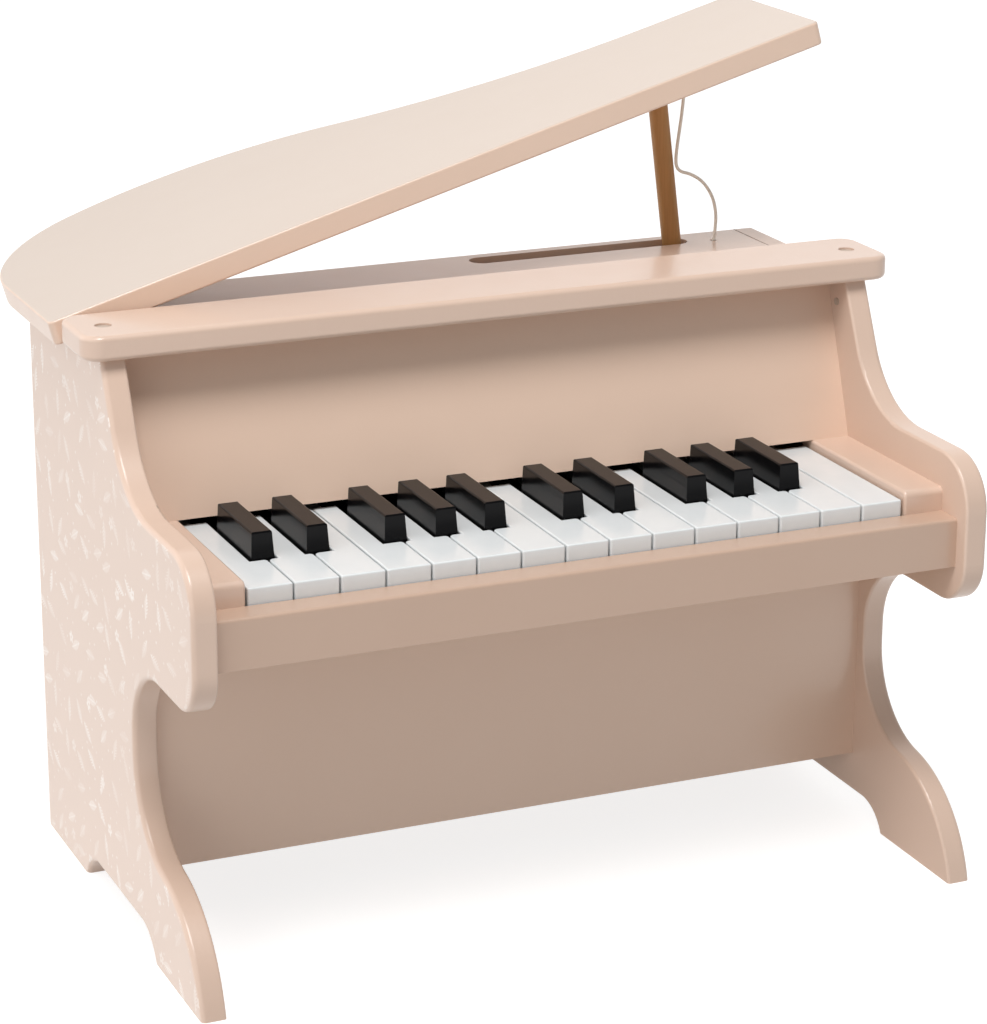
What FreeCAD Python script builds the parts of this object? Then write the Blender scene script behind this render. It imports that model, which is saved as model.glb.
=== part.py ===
"""Toy upright piano with a propped grand-style lid, each piece a solid of its own, in millimetres.

+X runs along the keyboard, +Y to the back and +Z up. The origin is on the floor, at the middle of the
part's box. Depths are measured back from the noses of the side panels, which are the part's front.
"""
import FreeCAD, Part
import itertools
import math
import operator
import os
import types

import Sketcher

# Driving sizes, one cell each
SIZES = {
    "body_height": 276.0,
    "body_depth": 245.0,
    "board": 12.0,
    "edge_round": 2.5,
    "inner_edge_round": 1.5,
    # Side panel outline
    "arm_height": 215.5,
    "knee_height": 142.5,
    "knee_round": 38.1,
    "waist_setback": 92.0,
    "waist_run": 10.4,
    "instep_radius": 44.9,
    "neck_setback": 63.5,
    "neck_radius": 51.0,
    "shoulder_setback": 124.3,
    "heel_setback": 68.3,
    "arch_height": 12.4,
    "arch_run": 20.0,
    "back_foot": 68.5,
    # Shelf over the fallboard
    "shelf_end": 9.9,
    "shelf_shift": 1.2,
    "shelf_overhang": 5.98,
    "shelf_depth": 45.0,
    "shelf_corner": 9.5,
    "shelf_screw_inset": 5.0,
    "shelf_screw_setback": 20.5,
    "recess_radius": 4.0,
    "recess_depth": 3.2,
    # Boards of the case
    "fallboard_setback": 24.2,
    "fallboard_lean": 27.0,
    "fallboard_depth": 9.5,
    "fallboard_gap": 3.8,
    "lower_panel_step": 6.7,
    "lower_panel_board": 9.0,
    "skirt_height": 32.5,
    "back_board": 5.0,
    "batten": 10.0,
    "bed_height": 162.3,
    "bed_board": 10.0,
    "rail_setback": 8.2,
    "rail_height": 24.0,
    "block_gap": 0.8,
    "block_width": 20.7,
    "block_round": 3.0,
    "fit_gap": 0.3,
    # Keys
    "key_setback": 23.5,
    "key_pitch": 22.0,
    "key_gap": 0.8,
    "key_rise": 21.7,
    "cap_height": 13.0,
    "cap_length": 96.0,
    "cap_wall": 1.6,
    "cap_round": 0.8,
    "cap_corner": 1.0,
    "cut_front": 34.8,
    "cut_gap": 1.2,
    "cut_round": 2.0,
    "rail_gap": 0.8,
    "black_gap": 0.5,
    "black_rake": 2.2,
    "black_length": 49.0,
    "black_rise": 12.3,
    "black_width": 12.6,
    "black_top_width": 9.7,
    "lever_width": 8.0,
    "lever_drop": 14.0,
    "lever_height": 9.0,
    "lever_nose": 60.0,
    "lever_chamfer": 5.0,
    "lever_root": 1.0,
    "lever_tail": 2.5,
    "hammer_gap": 5.0,
    "hammer_length": 6.0,
    # Key action
    "axle_setback": 35.0,
    "axle_radius": 2.0,
    "running_gap": 0.05,
    "axle_rail_reach": 16.0,
    "axle_rail_depth": 22.0,
    "lug_thickness": 2.2,
    "lug_depth": 10.0,
    "lug_crown": 4.5,
    "comb_thickness": 0.6,
    "comb_depth": 9.0,
    "comb_drop": 1.15,
    "finger_width": 5.0,
    "finger_length": 20.0,
    "finger_tilt": 3.0,
    "front_felt_setback": 4.5,
    "front_felt_depth": 12.0,
    "front_felt_thickness": 3.0,
    "felt_thickness": 2.5,
    "tail_rail_reach": 12.0,
    "tail_rail_depth": 10.0,
    "felt_touch": 0.1,
    # Tone bar and rods
    "rod_rise": 11.0,
    "rod_radius": 1.6,
    "rod_end_gap": 10.0,
    "rod_seat": 8.0,
    "strike_gap": 0.4,
    "tone_bar_gap": 12.0,
    "tone_bar_depth": 12.0,
    "tone_bar_height": 16.0,
    "tone_bar_end_gap": 8.0,
    "tone_foot": 12.0,
    # Lid
    "lid_angle": 16.0,
    "lid_gap": 1.0,
    "lid_depth": 151.5,
    "lid_overhang": 10.6,
    "lid_end_overhang": 9.35,
    "lid_lobe": 71.6,
    "lid_tail": 51.8,
    "lid_tail_round": 8.0,
    "lid_corner": 3.0,
    "lid_edge_round": 1.2,
    # Lid hinges
    "hinge_inset": 1.15,
    "hinge_length": 26.0,
    "hinge_setback": 7.5,
    "leaf_width": 9.5,
    "leaf_thickness": 1.2,
    "knuckle_radius": 2.2,
    "knuckle_end": 8.0,
    "knuckle_gap": 0.3,
    "pin_radius": 1.0,
    "hinge_screw_out": 6.0,
    "hinge_screw_in": 6.0,
    # Prop and string
    "prop_radius": 5.0,
    "prop_inset": 47.86,
    "prop_gap": 0.55,
    "prop_foot": 5.0,
    "prop_foot_round": 4.0,
    "prop_tip_round": 1.2,
    "prop_lean": 7.3,
    "slot_room": 7.7,
    "slot_run": 15.4,
    "slot_inset": 12.5,
    "slot_width": 13.0,
    "prop_pin_radius": 1.5,
    "prop_pin_seat": 8.0,
    "prop_pin_inset": 0.8,
    "string_radius": 0.9,
    "string_hole": 1.8,
    "string_step": 20.9,
    "string_inset": 18.0,
    "string_lid_end": 44.1,
    "string_lid_inset": 14.5,
    "string_seat": 7.0,
    "knot_radius": 2.2,
    "knot_gap": 0.2,
    # Screws
    "screw_gap": 0.1,
    "shelf_head": 3.8,
    "shelf_head_height": 2.4,
    "shelf_shank": 2.0,
    "shelf_screw_length": 28.0,
    "small_head": 3.0,
    "small_head_height": 1.6,
    "small_shank": 1.5,
    "small_screw_length": 14.0,
    "rail_screw_length": 12.0,
    "rail_recess": 2.0,
    "hinge_head": 1.8,
    "hinge_shank": 1.0,
    "hinge_screw_length": 8.0,
    "brad_head": 1.8,
    "brad_head_height": 0.8,
    "brad_shank": 0.8,
    "brad_length": 6.0,
    "brad_setback": 6.6,
    "brad_drop": 12.3,
    "cut_overrun": 1.0,
}

WHITE_KEYS = 15
OCTAVE = 7
# Place of a black key beside the seam on the right of white key 0 (C) to 6 (B), as shares of the pitch
BLACK_OFFSET_SHARES = {0: -0.075, 1: 0.131, 3: -0.144, 4: 0.0, 5: 0.117}
# Slope of a key at the end of its travel
PRESS_SHARE = 0.0437
# Point halfway along a quarter round
DIAGONAL_SHARE = 0.7071
# Rounds of the arm's nose and chin, as shares of the arm's height
NOSE_SHARE = 0.357
CHIN_SHARE = 0.297
# Directions on the instep arc, as shares of its radius
INSTEP_MID_SHARES = (0.7592, 0.65086)
INSTEP_END_SHARES = (0.15276, 0.98826)
# Lid's curved side: radii as shares of its run, and turns of its arcs as sine and rise shares of a radius
CROWN_SHARE = 0.68732
HOLLOW_SHARE = 1.24322
LOBE_MID_SHARES = (0.78819, 0.61543)
LOBE_END_SHARES = (0.2426, 0.02987)
CROWN_MID_SHARES = (0.10045, 0.00506)
HOLLOW_MID_SHARES = (0.2213, 0.02479)
HOLLOW_END_SHARES = (0.43162, 0.09794)
# Heights of the back panel's screws, as shares of the panel
BACK_SCREW_SHARES = (0.08, 0.4, 0.92)
# Gaps between levers, counted from the left end, that hold a lug of the axle rail
LUG_PLACES = (0, 9, 16, 25)
AXLE_SCREW_SHARES = (0.1, 0.4, 0.6, 0.9)
ROD_SHORT_SHARE = 0.6
OPERATORS = {"+": operator.add, "-": operator.sub, "*": operator.mul, "/": operator.truediv}
TOLERANCE = 0.01

# Slack of the lid string: shares of its rise along the straight line from hole to hole, and beside it
STRING_SHARES = [
    (0.8922, -0.0283),
    (0.7068, -0.0741),
    (0.5213, -0.1329),
    (0.419, -0.1594),
    (0.3789, -0.1387),
    (0.3639, -0.079),
    (0.3168, -0.0123),
    (0.2346, 0.0306),
    (0.1424, 0.0379),
    (0.0561, 0.019),
    (-0.006, 0.0),
    (-0.0752, -0.0125),
]
STRING_BEND_SHARE = 0.45


class Size:
    """A length that carries its value and, as text, the cells that it is worked out from."""

    def __init__(self, value, text):
        self.value = value
        self.text = text

    def __add__(self, other):
        return combine(self, "+", other)

    def __sub__(self, other):
        return combine(self, "-", other)

    def __rsub__(self, other):
        return combine(other, "-", self)

    def __mul__(self, other):
        return combine(self, "*", other)

    def __truediv__(self, other):
        return combine(self, "/", other)

    def __neg__(self):
        return combine(0, "-", self)

    __radd__ = __add__
    __rmul__ = __mul__


def value_of(size):
    return size.value if isinstance(size, Size) else float(size)


def combine(left, sign, right):
    """Adds, subtracts, multiplies or divides, in value and in text alike."""
    texts = [part.text if isinstance(part, Size) else repr(part) for part in (left, right)]
    return Size(OPERATORS[sign](value_of(left), value_of(right)), f"({texts[0]} {sign} {texts[1]})")


def root(size):
    return Size(math.sqrt(value_of(size)), f"sqrt({size.text})")


def sine_and_cosine(angle):
    turn = math.radians(value_of(angle))
    return Size(math.sin(turn), f"sin({angle.text})"), Size(math.cos(turn), f"cos({angle.text})")


doc = FreeCAD.newDocument("ToyPiano")
sheet = doc.addObject("Spreadsheet::Sheet", "Sizes")
rows = itertools.count(start=1)


def enter(name, content):
    """Fills the next row of the sheet and names its cell."""
    row = next(rows)
    sheet.set(f"A{row}", name)
    sheet.set(f"B{row}", content)
    sheet.setAlias(f"B{row}", name)
    sheet.recompute()
    return Size(float(sheet.get(name)), f"Sizes.{name}")


def derive(name, size):
    """Gives a worked-out size a cell of its own, so that what follows can refer to it."""
    return enter(name, "=" + size.text.replace("Sizes.", ""))


s = types.SimpleNamespace(**{name: enter(name, str(number)) for name, number in SIZES.items()})
pieces = []


def vector(point):
    return FreeCAD.Vector(*[value_of(size) for size in point])


def bind(thing, prop, size):
    """Ties a property to the sheet; a plain zero needs no tie."""
    if isinstance(size, Size):
        thing.setExpression(prop, size.text)


def keep(label, thing):
    """Marks a finished sub-part, to be written under its label."""
    thing.Label = label
    pieces.append(thing)
    return thing


def place(thing, point):
    for axis, size in zip("xyz", point):
        bind(thing, f"Placement.Base.{axis}", size)
    return thing


def new_body(name):
    return doc.addObject("PartDesign::Body", name)


def sketch_on(body, role, offset):
    """Puts an empty sketch on one of the body's origin planes, moved along the plane's normal."""
    sketch = body.newObject("Sketcher::SketchObject", f"{body.Name}_sketch")
    plane = next(feature for feature in body.Origin.OriginFeatures if feature.Role == role)
    sketch.AttachmentSupport = [(plane, "")]
    sketch.MapMode = "FlatFace"
    bind(sketch, "AttachmentOffset.Base.z", offset)
    return sketch


def pin_point(sketch, index, end, point):
    """Holds a sketch point at its two coordinates."""
    for kind, size in zip(("DistanceX", "DistanceY"), point):
        held = Sketcher.Constraint(kind, -1, 1, index, end, value_of(size))
        bind(sketch, f"Constraints[{sketch.addConstraint(held)}]", size)


def draw(sketch, path):
    """Draws a closed outline: a point ends a straight run, a pair (through, end) ends an arc."""
    steps = [step if isinstance(step[0], tuple) else (None, step) for step in path]
    last = steps[-1][1]
    runs = []
    for through, end in steps:
        if through is None:
            index = sketch.addGeometry(Part.LineSegment(vector(last), vector(end)))
        else:
            index = sketch.addGeometry(Part.Arc(vector(last), vector(through), vector(end)))
            mark = sketch.addGeometry(Part.Point(vector(through)), True)
            sketch.addConstraint(Sketcher.Constraint("PointOnObject", mark, 1, index))
            pin_point(sketch, mark, 1, through)
        near = [sketch.getPoint(index, side).distanceToPoint(vector(end)) for side in (1, 2)]
        tail = 1 + near.index(min(near))
        pin_point(sketch, index, tail, end)
        runs.append((index, 3 - tail, tail))
        last = end
    for (index, _, tail), (following, head, _) in zip(runs, runs[1:] + runs[:1]):
        sketch.addConstraint(Sketcher.Constraint("Coincident", index, tail, following, head))


def draw_ring(sketch, centre, radius):
    circle = Part.Circle(vector(centre), FreeCAD.Vector(0, 0, 1), value_of(radius))
    index = sketch.addGeometry(circle)
    held = sketch.addConstraint(Sketcher.Constraint("Radius", index, value_of(radius)))
    bind(sketch, f"Constraints[{held}]", radius)
    pin_point(sketch, index, 3, centre)


def rectangle(low_u, low_v, high_u, high_v):
    return [(high_u, low_v), (high_u, high_v), (low_u, high_v), (low_u, low_v)]


def pad(body, sketch, depth):
    feature = body.newObject("PartDesign::Pad", f"{body.Name}_pad")
    feature.Profile = sketch
    bind(feature, "Length", depth)
    sketch.Visibility = False
    return feature


def pocket(body, sketch, depth):
    """Cuts against the sketch's normal; the volume has to fall."""
    doc.recompute()
    before = body.Shape.Volume
    feature = body.newObject("PartDesign::Pocket", f"{body.Name}_pocket")
    feature.Profile = sketch
    bind(feature, "Length", depth)
    doc.recompute()
    if body.Shape.Volume > before - TOLERANCE:
        raise RuntimeError(f"a cut in {body.Name} removed nothing")
    return feature


def fillet(body, radius, chosen):
    """Rounds the edges of the body so far that the given test picks out."""
    doc.recompute()
    base = body.Tip
    edges = [f"Edge{number}" for number, edge in enumerate(base.Shape.Edges, start=1) if chosen(edge)]
    feature = body.newObject("PartDesign::Fillet", f"{body.Name}_fillet")
    feature.Base = (base, edges)
    bind(feature, "Radius", radius)


def plate(name, role, path, low, depth, rings=(), windows=()):
    """Pads an outline, less its windows and round holes, from one plane to another."""
    body = new_body(name)
    sketch = sketch_on(body, role, low)
    draw(sketch, path)
    for window in windows:
        draw(sketch, window)
    for centre, radius in rings:
        draw_ring(sketch, centre, radius)
    pad(body, sketch, depth)
    return body


def drill(body, role, plane, depth, rings):
    """Cuts round holes of one depth against the normal of a plane."""
    sketch = sketch_on(body, role, plane)
    for centre, radius in rings:
        draw_ring(sketch, centre, radius)
    pocket(body, sketch, depth)


def block(name, low, high):
    """A plain box between two corners."""
    box = doc.addObject("Part::Box", name)
    for prop, near, far in zip(("Length", "Width", "Height"), low, high):
        bind(box, prop, far - near)
    return place(box, low)


TURNS = {
    "x": FreeCAD.Rotation(FreeCAD.Vector(0, 1, 0), 90),
    "y": FreeCAD.Rotation(FreeCAD.Vector(1, 0, 0), -90),
    "z": FreeCAD.Rotation(),
    "-y": FreeCAD.Rotation(FreeCAD.Vector(1, 0, 0), 90),
    "-z": FreeCAD.Rotation(FreeCAD.Vector(1, 0, 0), 180),
    "-x": FreeCAD.Rotation(FreeCAD.Vector(0, 1, 0), -90),
}


def rod(name, radius, start, length, axis):
    """A round bar from a point along one of the six directions."""
    cylinder = doc.addObject("Part::Cylinder", name)
    bind(cylinder, "Radius", radius)
    bind(cylinder, "Height", length)
    cylinder.Placement = FreeCAD.Placement(FreeCAD.Vector(), TURNS[axis])
    return place(cylinder, start)


def fuse(name, things):
    joined = doc.addObject("Part::MultiFuse", name)
    joined.Shapes = things
    return joined


def cut(name, base, tool):
    left = doc.addObject("Part::Cut", name)
    left.Base = base
    left.Tool = tool
    return left


def group(label, things):
    """Several like solids under one label."""
    compound = doc.addObject("Part::Compound", label)
    compound.Links = things
    return keep(label, compound)


def screw(name, head, head_height, shank, length, tip, axis):
    """A screw along its axis, from the point of its shank to the top of its head."""
    neck = tuple(
        at - length if axis == f"-{letter}" else at + length if axis == letter else at
        for letter, at in zip("xyz", tip)
    )
    shaft = rod(f"{name}_shaft", shank, tip, length, axis)
    cap = rod(f"{name}_cap", head, neck, head_height, axis)
    return fuse(name, [shaft, cap])


def on_plane(edge, axis, level):
    """True where the whole edge lies at one level of an axis."""
    box = edge.BoundBox
    low, high = getattr(box, f"{axis}Min"), getattr(box, f"{axis}Max")
    return abs(low - value_of(level)) < TOLERANCE and abs(high - value_of(level)) < TOLERANCE


def at_levels(**levels):
    """A test for the edges that lie at the given levels of X, Y or Z."""
    return lambda edge: all(on_plane(edge, axis, level) for axis, level in levels.items())


# Main planes of the case: its width from the keyboard, its front from the reach of the lid
shelf_setback = derive("shelf_setback", s.shoulder_setback - s.shelf_overhang)
lid_setback = derive("lid_setback", shelf_setback + s.shelf_depth + s.lid_gap)
front = derive("front", -(lid_setback + s.lid_depth) / 2)
back = derive("back", front + s.body_depth)
keys_half = s.key_pitch * WHITE_KEYS / 2
block_in = derive("block_in", keys_half + s.block_gap)
inner = derive("inner", block_in + s.block_width)
outer = derive("outer", inner + s.board)
nose_round = derive("nose_round", (s.arm_height - s.knee_height) * NOSE_SHARE)
chin_round = derive("chin_round", (s.arm_height - s.knee_height) * CHIN_SHARE)
bed_top = derive("bed_top", s.bed_height + s.bed_board)
key_top = derive("key_top", bed_top + s.key_rise)
key_front = derive("key_front", front + s.key_setback)
cap_back = derive("cap_back", key_front + s.cap_length)
waist = derive("waist", front + s.waist_setback)
waist_height = derive("waist_height", s.knee_height - s.knee_round - s.waist_run)
lever_low = derive("lever_low", key_top - s.lever_drop)
lever_top = derive("lever_top", lever_low + s.lever_height)
axle_y = derive("axle_y", cap_back + s.axle_setback)
axle_height = derive("axle_height", lever_low + s.lever_height / 2)
rod_height = derive("rod_height", lever_top + s.rod_rise)


def shared(start, end, share):
    return start + (end - start) * share


def tangent_arc(start, heading, end):
    """The step of an outline that leaves its start along a heading and bends evenly to its end."""
    across, along = end[0] - start[0], end[1] - start[1]
    chord = root(across * across + along * along)
    bow = (chord - across * heading[0] - along * heading[1]) / (along * heading[0] - across * heading[1])
    through = (start[0] + (across + along * bow) / 2, start[1] + (along - across * bow) / 2)
    return (through, end)


def touching_point(centre, radius, end):
    """Where the line from an end point touches a circle on its lower side."""
    across, along = end[0] - centre[0], end[1] - centre[1]
    distance = across * across + along * along
    run = root(distance - radius * radius)
    return (
        centre[0] + radius * (across * radius + along * run) / distance,
        centre[1] + radius * (along * radius - across * run) / distance,
    )


def side_panel(name, low_x, outer_x, inner_x):
    """A side panel: neck, arm and round nose, waist, splayed foot, low arch and back foot."""
    neck = (neck_y, s.arm_height)
    nose_in = nose_round * (1 - DIAGONAL_SHARE)
    chin_in = chin_round * (1 - DIAGONAL_SHARE)
    knee_in = s.knee_round * (1 - DIAGONAL_SHARE)
    bend = waist - s.instep_radius
    instep_mid = [s.instep_radius * share for share in INSTEP_MID_SHARES]
    instep = (
        bend + s.instep_radius * INSTEP_END_SHARES[0],
        waist_height - s.instep_radius * INSTEP_END_SHARES[1],
    )
    instep_heading = (-INSTEP_END_SHARES[1], -INSTEP_END_SHARES[0])
    heel = front + s.heel_setback
    rear_heel = back - s.back_foot
    arch_start, arch_end = (heel + s.arch_run, s.arch_height), (rear_heel - s.arch_run, s.arch_height)
    path = [
        (back, 0),
        (back, s.body_height),
        (shoulder, s.body_height),
        (neck_end_y, neck_end_z),
        (tangent_arc(neck, (1, 0), (neck_end_y, neck_end_z))[0], neck),
        (front + nose_round, s.arm_height),
        ((front + nose_in, s.arm_height - nose_in), (front, s.arm_height - nose_round)),
        (front, s.knee_height + chin_round),
        ((front + chin_in, s.knee_height + chin_in), (front + chin_round, s.knee_height)),
        (waist - s.knee_round, s.knee_height),
        ((waist - knee_in, s.knee_height - knee_in), (waist, s.knee_height - s.knee_round)),
        (waist, waist_height),
        ((bend + instep_mid[0], waist_height - instep_mid[1]), instep),
        tangent_arc(instep, instep_heading, (front, 0)),
        (heel, 0),
        (tangent_arc(arch_start, (-1, 0), (heel, 0))[0], arch_start),
        arch_end,
        tangent_arc(arch_end, (1, 0), (rear_heel, 0)),
    ]
    body = plate(name, "YZ_Plane", path, low_x, s.board)

    def outer_edge(edge):
        return on_plane(edge, "X", outer_x) and not on_plane(edge, "Z", 0)

    def inner_edge(edge):
        ahead = edge.BoundBox.YMax < value_of(shoulder) + TOLERANCE
        return on_plane(edge, "X", inner_x) and ahead and not on_plane(edge, "Z", 0)

    fillet(body, s.edge_round, outer_edge)
    fillet(body, s.inner_edge_round, inner_edge)
    return body


neck_y = derive("neck_y", front + s.neck_setback)
shoulder = derive("shoulder", front + s.shoulder_setback)
neck_end = touching_point((neck_y, s.arm_height + s.neck_radius), s.neck_radius, (shoulder, s.body_height))
neck_end_y = derive("neck_end_y", neck_end[0])
neck_end_z = derive("neck_end_z", neck_end[1])
left_panel = side_panel("left_side_panel", -outer, -outer, -inner)
right_panel = side_panel("right_side_panel", inner, outer, inner)

# Screw holes in the tops of the side panels, and brad holes in their inner faces by the fallboard
shelf_low = derive("shelf_low", front + shelf_setback)
fall_top = derive("fall_top", shelf_low + s.fallboard_setback)
fall_low = derive("fall_low", fall_top - s.fallboard_lean)
fall_foot = derive("fall_foot", key_top + s.fallboard_gap)
shelf_screw_x = outer - s.shelf_screw_inset
shelf_screw_y = shelf_low + s.shelf_screw_setback
shelf_screw_low = s.body_height + s.board - s.recess_depth - s.shelf_screw_length
shelf_bore = s.shelf_shank + s.screw_gap
brad_lean = s.fallboard_lean * s.brad_drop / (s.body_height - fall_foot)
brad_place = (fall_top - brad_lean - s.brad_setback, s.body_height - s.brad_drop)
brad_bore = s.brad_shank + s.screw_gap
for body, screw_x, brad_plane in (
    (left_panel, s.shelf_shift - shelf_screw_x, -inner),
    (right_panel, s.shelf_shift + shelf_screw_x, inner + s.brad_length),
):
    depth = s.body_height - shelf_screw_low
    drill(body, "XY_Plane", s.body_height, depth, [((screw_x, shelf_screw_y), shelf_bore)])
    drill(body, "YZ_Plane", brad_plane, s.brad_length, [(brad_place, brad_bore)])
keep("right_side_panel", right_panel)

# Front shelf with rounded ends and two recesses for its screws, a little to the right of the middle
shelf_half = outer + s.shelf_end
shelf_high = shelf_low + s.shelf_depth
shelf_top = s.body_height + s.board
shelf = plate(
    "front_shelf",
    "XY_Plane",
    rectangle(s.shelf_shift - shelf_half, shelf_low, s.shelf_shift + shelf_half, shelf_high),
    s.body_height,
    s.board,
)
fillet(shelf, s.shelf_corner, lambda edge: edge.BoundBox.ZLength > TOLERANCE)
fillet(shelf, s.edge_round, lambda edge: on_plane(edge, "Z", s.body_height) or on_plane(edge, "Z", shelf_top))
shelf_places = [(s.shelf_shift + reach, shelf_screw_y) for reach in (-shelf_screw_x, shelf_screw_x)]
drill(shelf, "XY_Plane", shelf_top, s.recess_depth, [(spot, s.recess_radius) for spot in shelf_places])
drill(shelf, "XY_Plane", shelf_top, s.board, [(spot, shelf_bore) for spot in shelf_places])
keep("front_shelf", shelf)

# Shelf screws, seated in the recesses
shelf_screws = [
    screw(
        f"shelf_screw_{number}",
        s.shelf_head,
        s.shelf_head_height,
        s.shelf_shank,
        s.shelf_screw_length,
        (spot[0], spot[1], shelf_screw_low),
        "z",
    )
    for number, spot in enumerate(shelf_places, start=1)
]
group("shelf_screws", shelf_screws)

# Brads with small heads on the inner faces of the side panels
brads = [
    screw(
        f"panel_brad_{axis}",
        s.brad_head,
        s.brad_head_height,
        s.brad_shank,
        s.brad_length,
        (tip_x, brad_place[0], brad_place[1]),
        axis,
    )
    for axis, tip_x in (("x", -inner - s.brad_length), ("-x", inner + s.brad_length))
]
group("panel_brads", brads)

# Fallboard, leaning back from the key blocks to the underside of the shelf
fallboard = plate(
    "fallboard",
    "YZ_Plane",
    [
        (fall_low + s.fallboard_depth, fall_foot),
        (fall_top + s.fallboard_depth, s.body_height),
        (fall_top, s.body_height),
        (fall_low, fall_foot),
    ],
    -inner,
    inner + inner,
)
keep("fallboard", fallboard)

# Top panel with the prop's slot, the string's hole and the bore of the prop pin
panel_low = s.body_height - s.board
lid_sine, lid_cosine = sine_and_cosine(s.lid_angle)
hinge_x = derive("hinge_x", s.hinge_inset - outer)
lid_reach = derive("lid_reach", outer + s.lid_end_overhang - hinge_x)
prop_x = derive("prop_x", hinge_x + lid_reach * lid_cosine - s.prop_inset)
prop_reach = derive("prop_reach", (prop_x - hinge_x) * lid_sine + s.board / 2 * lid_cosine - s.prop_gap)
slot_y = derive("slot_y", back - s.slot_inset)
slot_half = s.slot_width / 2
slot_right = prop_x + s.slot_room
slot_left = prop_x - prop_reach - s.slot_run
slot_in = slot_left + slot_half
slot_out = slot_right - slot_half
slot = [
    (slot_out, slot_y - slot_half),
    ((slot_right, slot_y), (slot_out, slot_y + slot_half)),
    (slot_in, slot_y + slot_half),
    ((slot_left, slot_y), (slot_in, slot_y - slot_half)),
]
string_spot = (prop_x + s.string_step, back - s.string_inset)
panel_front = fall_top + s.fallboard_depth + s.fit_gap
top_panel = plate(
    "top_panel",
    "XY_Plane",
    rectangle(-inner, panel_front, inner, back),
    panel_low,
    s.board,
    rings=[(string_spot, s.string_hole)],
    windows=[slot],
)
prop_height = s.body_height - s.board / 2
pin_start = slot_y - slot_half - s.prop_pin_seat
pin_bore = s.prop_pin_radius + s.running_gap
drill(top_panel, "XZ_Plane", -pin_start, back - pin_start, [((prop_x, prop_height), pin_bore)])
keep("top_panel", top_panel)

# Prop pin across the slot, pushed in from the back
keep("prop_pin", rod("prop_pin", s.prop_pin_radius, (prop_x, pin_start, prop_height),
                     back - s.prop_pin_inset - pin_start, "y"))

# Prop stick: a round dowel, bored for the pin, leaning against the right end of the slot
stick = doc.addObject("Part::Cylinder", "prop_dowel")
bind(stick, "Radius", s.prop_radius)
bind(stick, "Height", s.prop_foot + prop_reach)
place(stick, (0, 0, -s.prop_foot))
rounded = doc.addObject("Part::Fillet", "prop_rounded")
rounded.Base = stick
doc.recompute()
ends = {value_of(-s.prop_foot): s.prop_foot_round, value_of(prop_reach): s.prop_tip_round}
rounded.Edges = [
    (number, value_of(radius), value_of(radius))
    for number, edge in enumerate(stick.Shape.Edges, start=1)
    for level, radius in ends.items()
    if on_plane(edge, "Z", level)
]
prop_bore = rod("prop_bore", pin_bore, (0, -s.prop_radius - s.cut_overrun, 0),
                2 * (s.prop_radius + s.cut_overrun), "y")
prop = cut("prop_stick", rounded, prop_bore)
prop.Placement = FreeCAD.Placement(
    vector((prop_x, slot_y, prop_height)),
    FreeCAD.Rotation(FreeCAD.Vector(0, 1, 0), -value_of(s.prop_lean)),
)
keep("prop_stick", prop)

# Lower panel, key bed and front rail
lower_front = waist + s.lower_panel_step
back_front = back - s.back_board
keep("lower_panel", block("lower_panel", (-inner, lower_front, s.skirt_height),
                          (inner, lower_front + s.lower_panel_board, s.bed_height)))

# Key bed, with pilot holes for the screws of the axle rail and the tone bar
axle_rail_low = axle_y - s.axle_rail_reach
rail_ledge = lever_low - s.comb_drop - s.comb_thickness
rail_screw_seat = rail_ledge - s.rail_recess
rail_screw_tip = rail_screw_seat - s.rail_screw_length
axle_screw_y = axle_rail_low + s.axle_rail_depth - s.small_head - s.inner_edge_round
axle_spots = [(shared(-block_in, block_in, share), axle_screw_y) for share in AXLE_SCREW_SHARES]
tone_low = derive("tone_low", back_front - s.tone_bar_gap - s.tone_bar_depth)
tone_half = inner - s.tone_bar_end_gap
tone_foot_x = tone_half - s.tone_foot / 2
tone_spots = [(-tone_foot_x, tone_low + s.tone_bar_depth / 2), (tone_foot_x, tone_low + s.tone_bar_depth / 2)]
small_bore = s.small_shank + s.screw_gap
bed_front = key_front - s.rail_gap
key_bed = plate(
    "key_bed",
    "XY_Plane",
    rectangle(-inner, bed_front, inner, back_front),
    s.bed_height,
    s.bed_board,
)
drill(key_bed, "XY_Plane", bed_top, s.bed_board, [(spot, small_bore) for spot in tone_spots])
drill(key_bed, "XY_Plane", bed_top, bed_top - rail_screw_tip, [(spot, small_bore) for spot in axle_spots])
keep("key_bed", key_bed)

# Front rail, its upper front edge rounded
rail_front = front + s.rail_setback
rail_top = s.bed_height + s.rail_height
front_rail = plate(
    "front_rail",
    "YZ_Plane",
    rectangle(rail_front, s.bed_height, bed_front, rail_top),
    -inner,
    inner + inner,
)
fillet(front_rail, s.inner_edge_round, at_levels(Y=rail_front, Z=rail_top))
keep("front_rail", front_rail)

# Key blocks at the ends of the keyboard, rounded towards the keys and at the front
for side, low_x, high_x, key_side in (
    ("left", -inner, -block_in, -block_in),
    ("right", block_in, inner, block_in),
):
    body = plate(
        f"{side}_key_block",
        "XY_Plane",
        rectangle(low_x, bed_front, high_x, fall_low + s.fallboard_depth),
        bed_top,
        fall_foot - bed_top,
    )
    fillet(body, s.block_round, at_levels(Y=bed_front, Z=fall_foot))
    fillet(body, s.inner_edge_round, at_levels(X=key_side, Z=fall_foot))
    keep(f"{side}_key_block", body)

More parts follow.
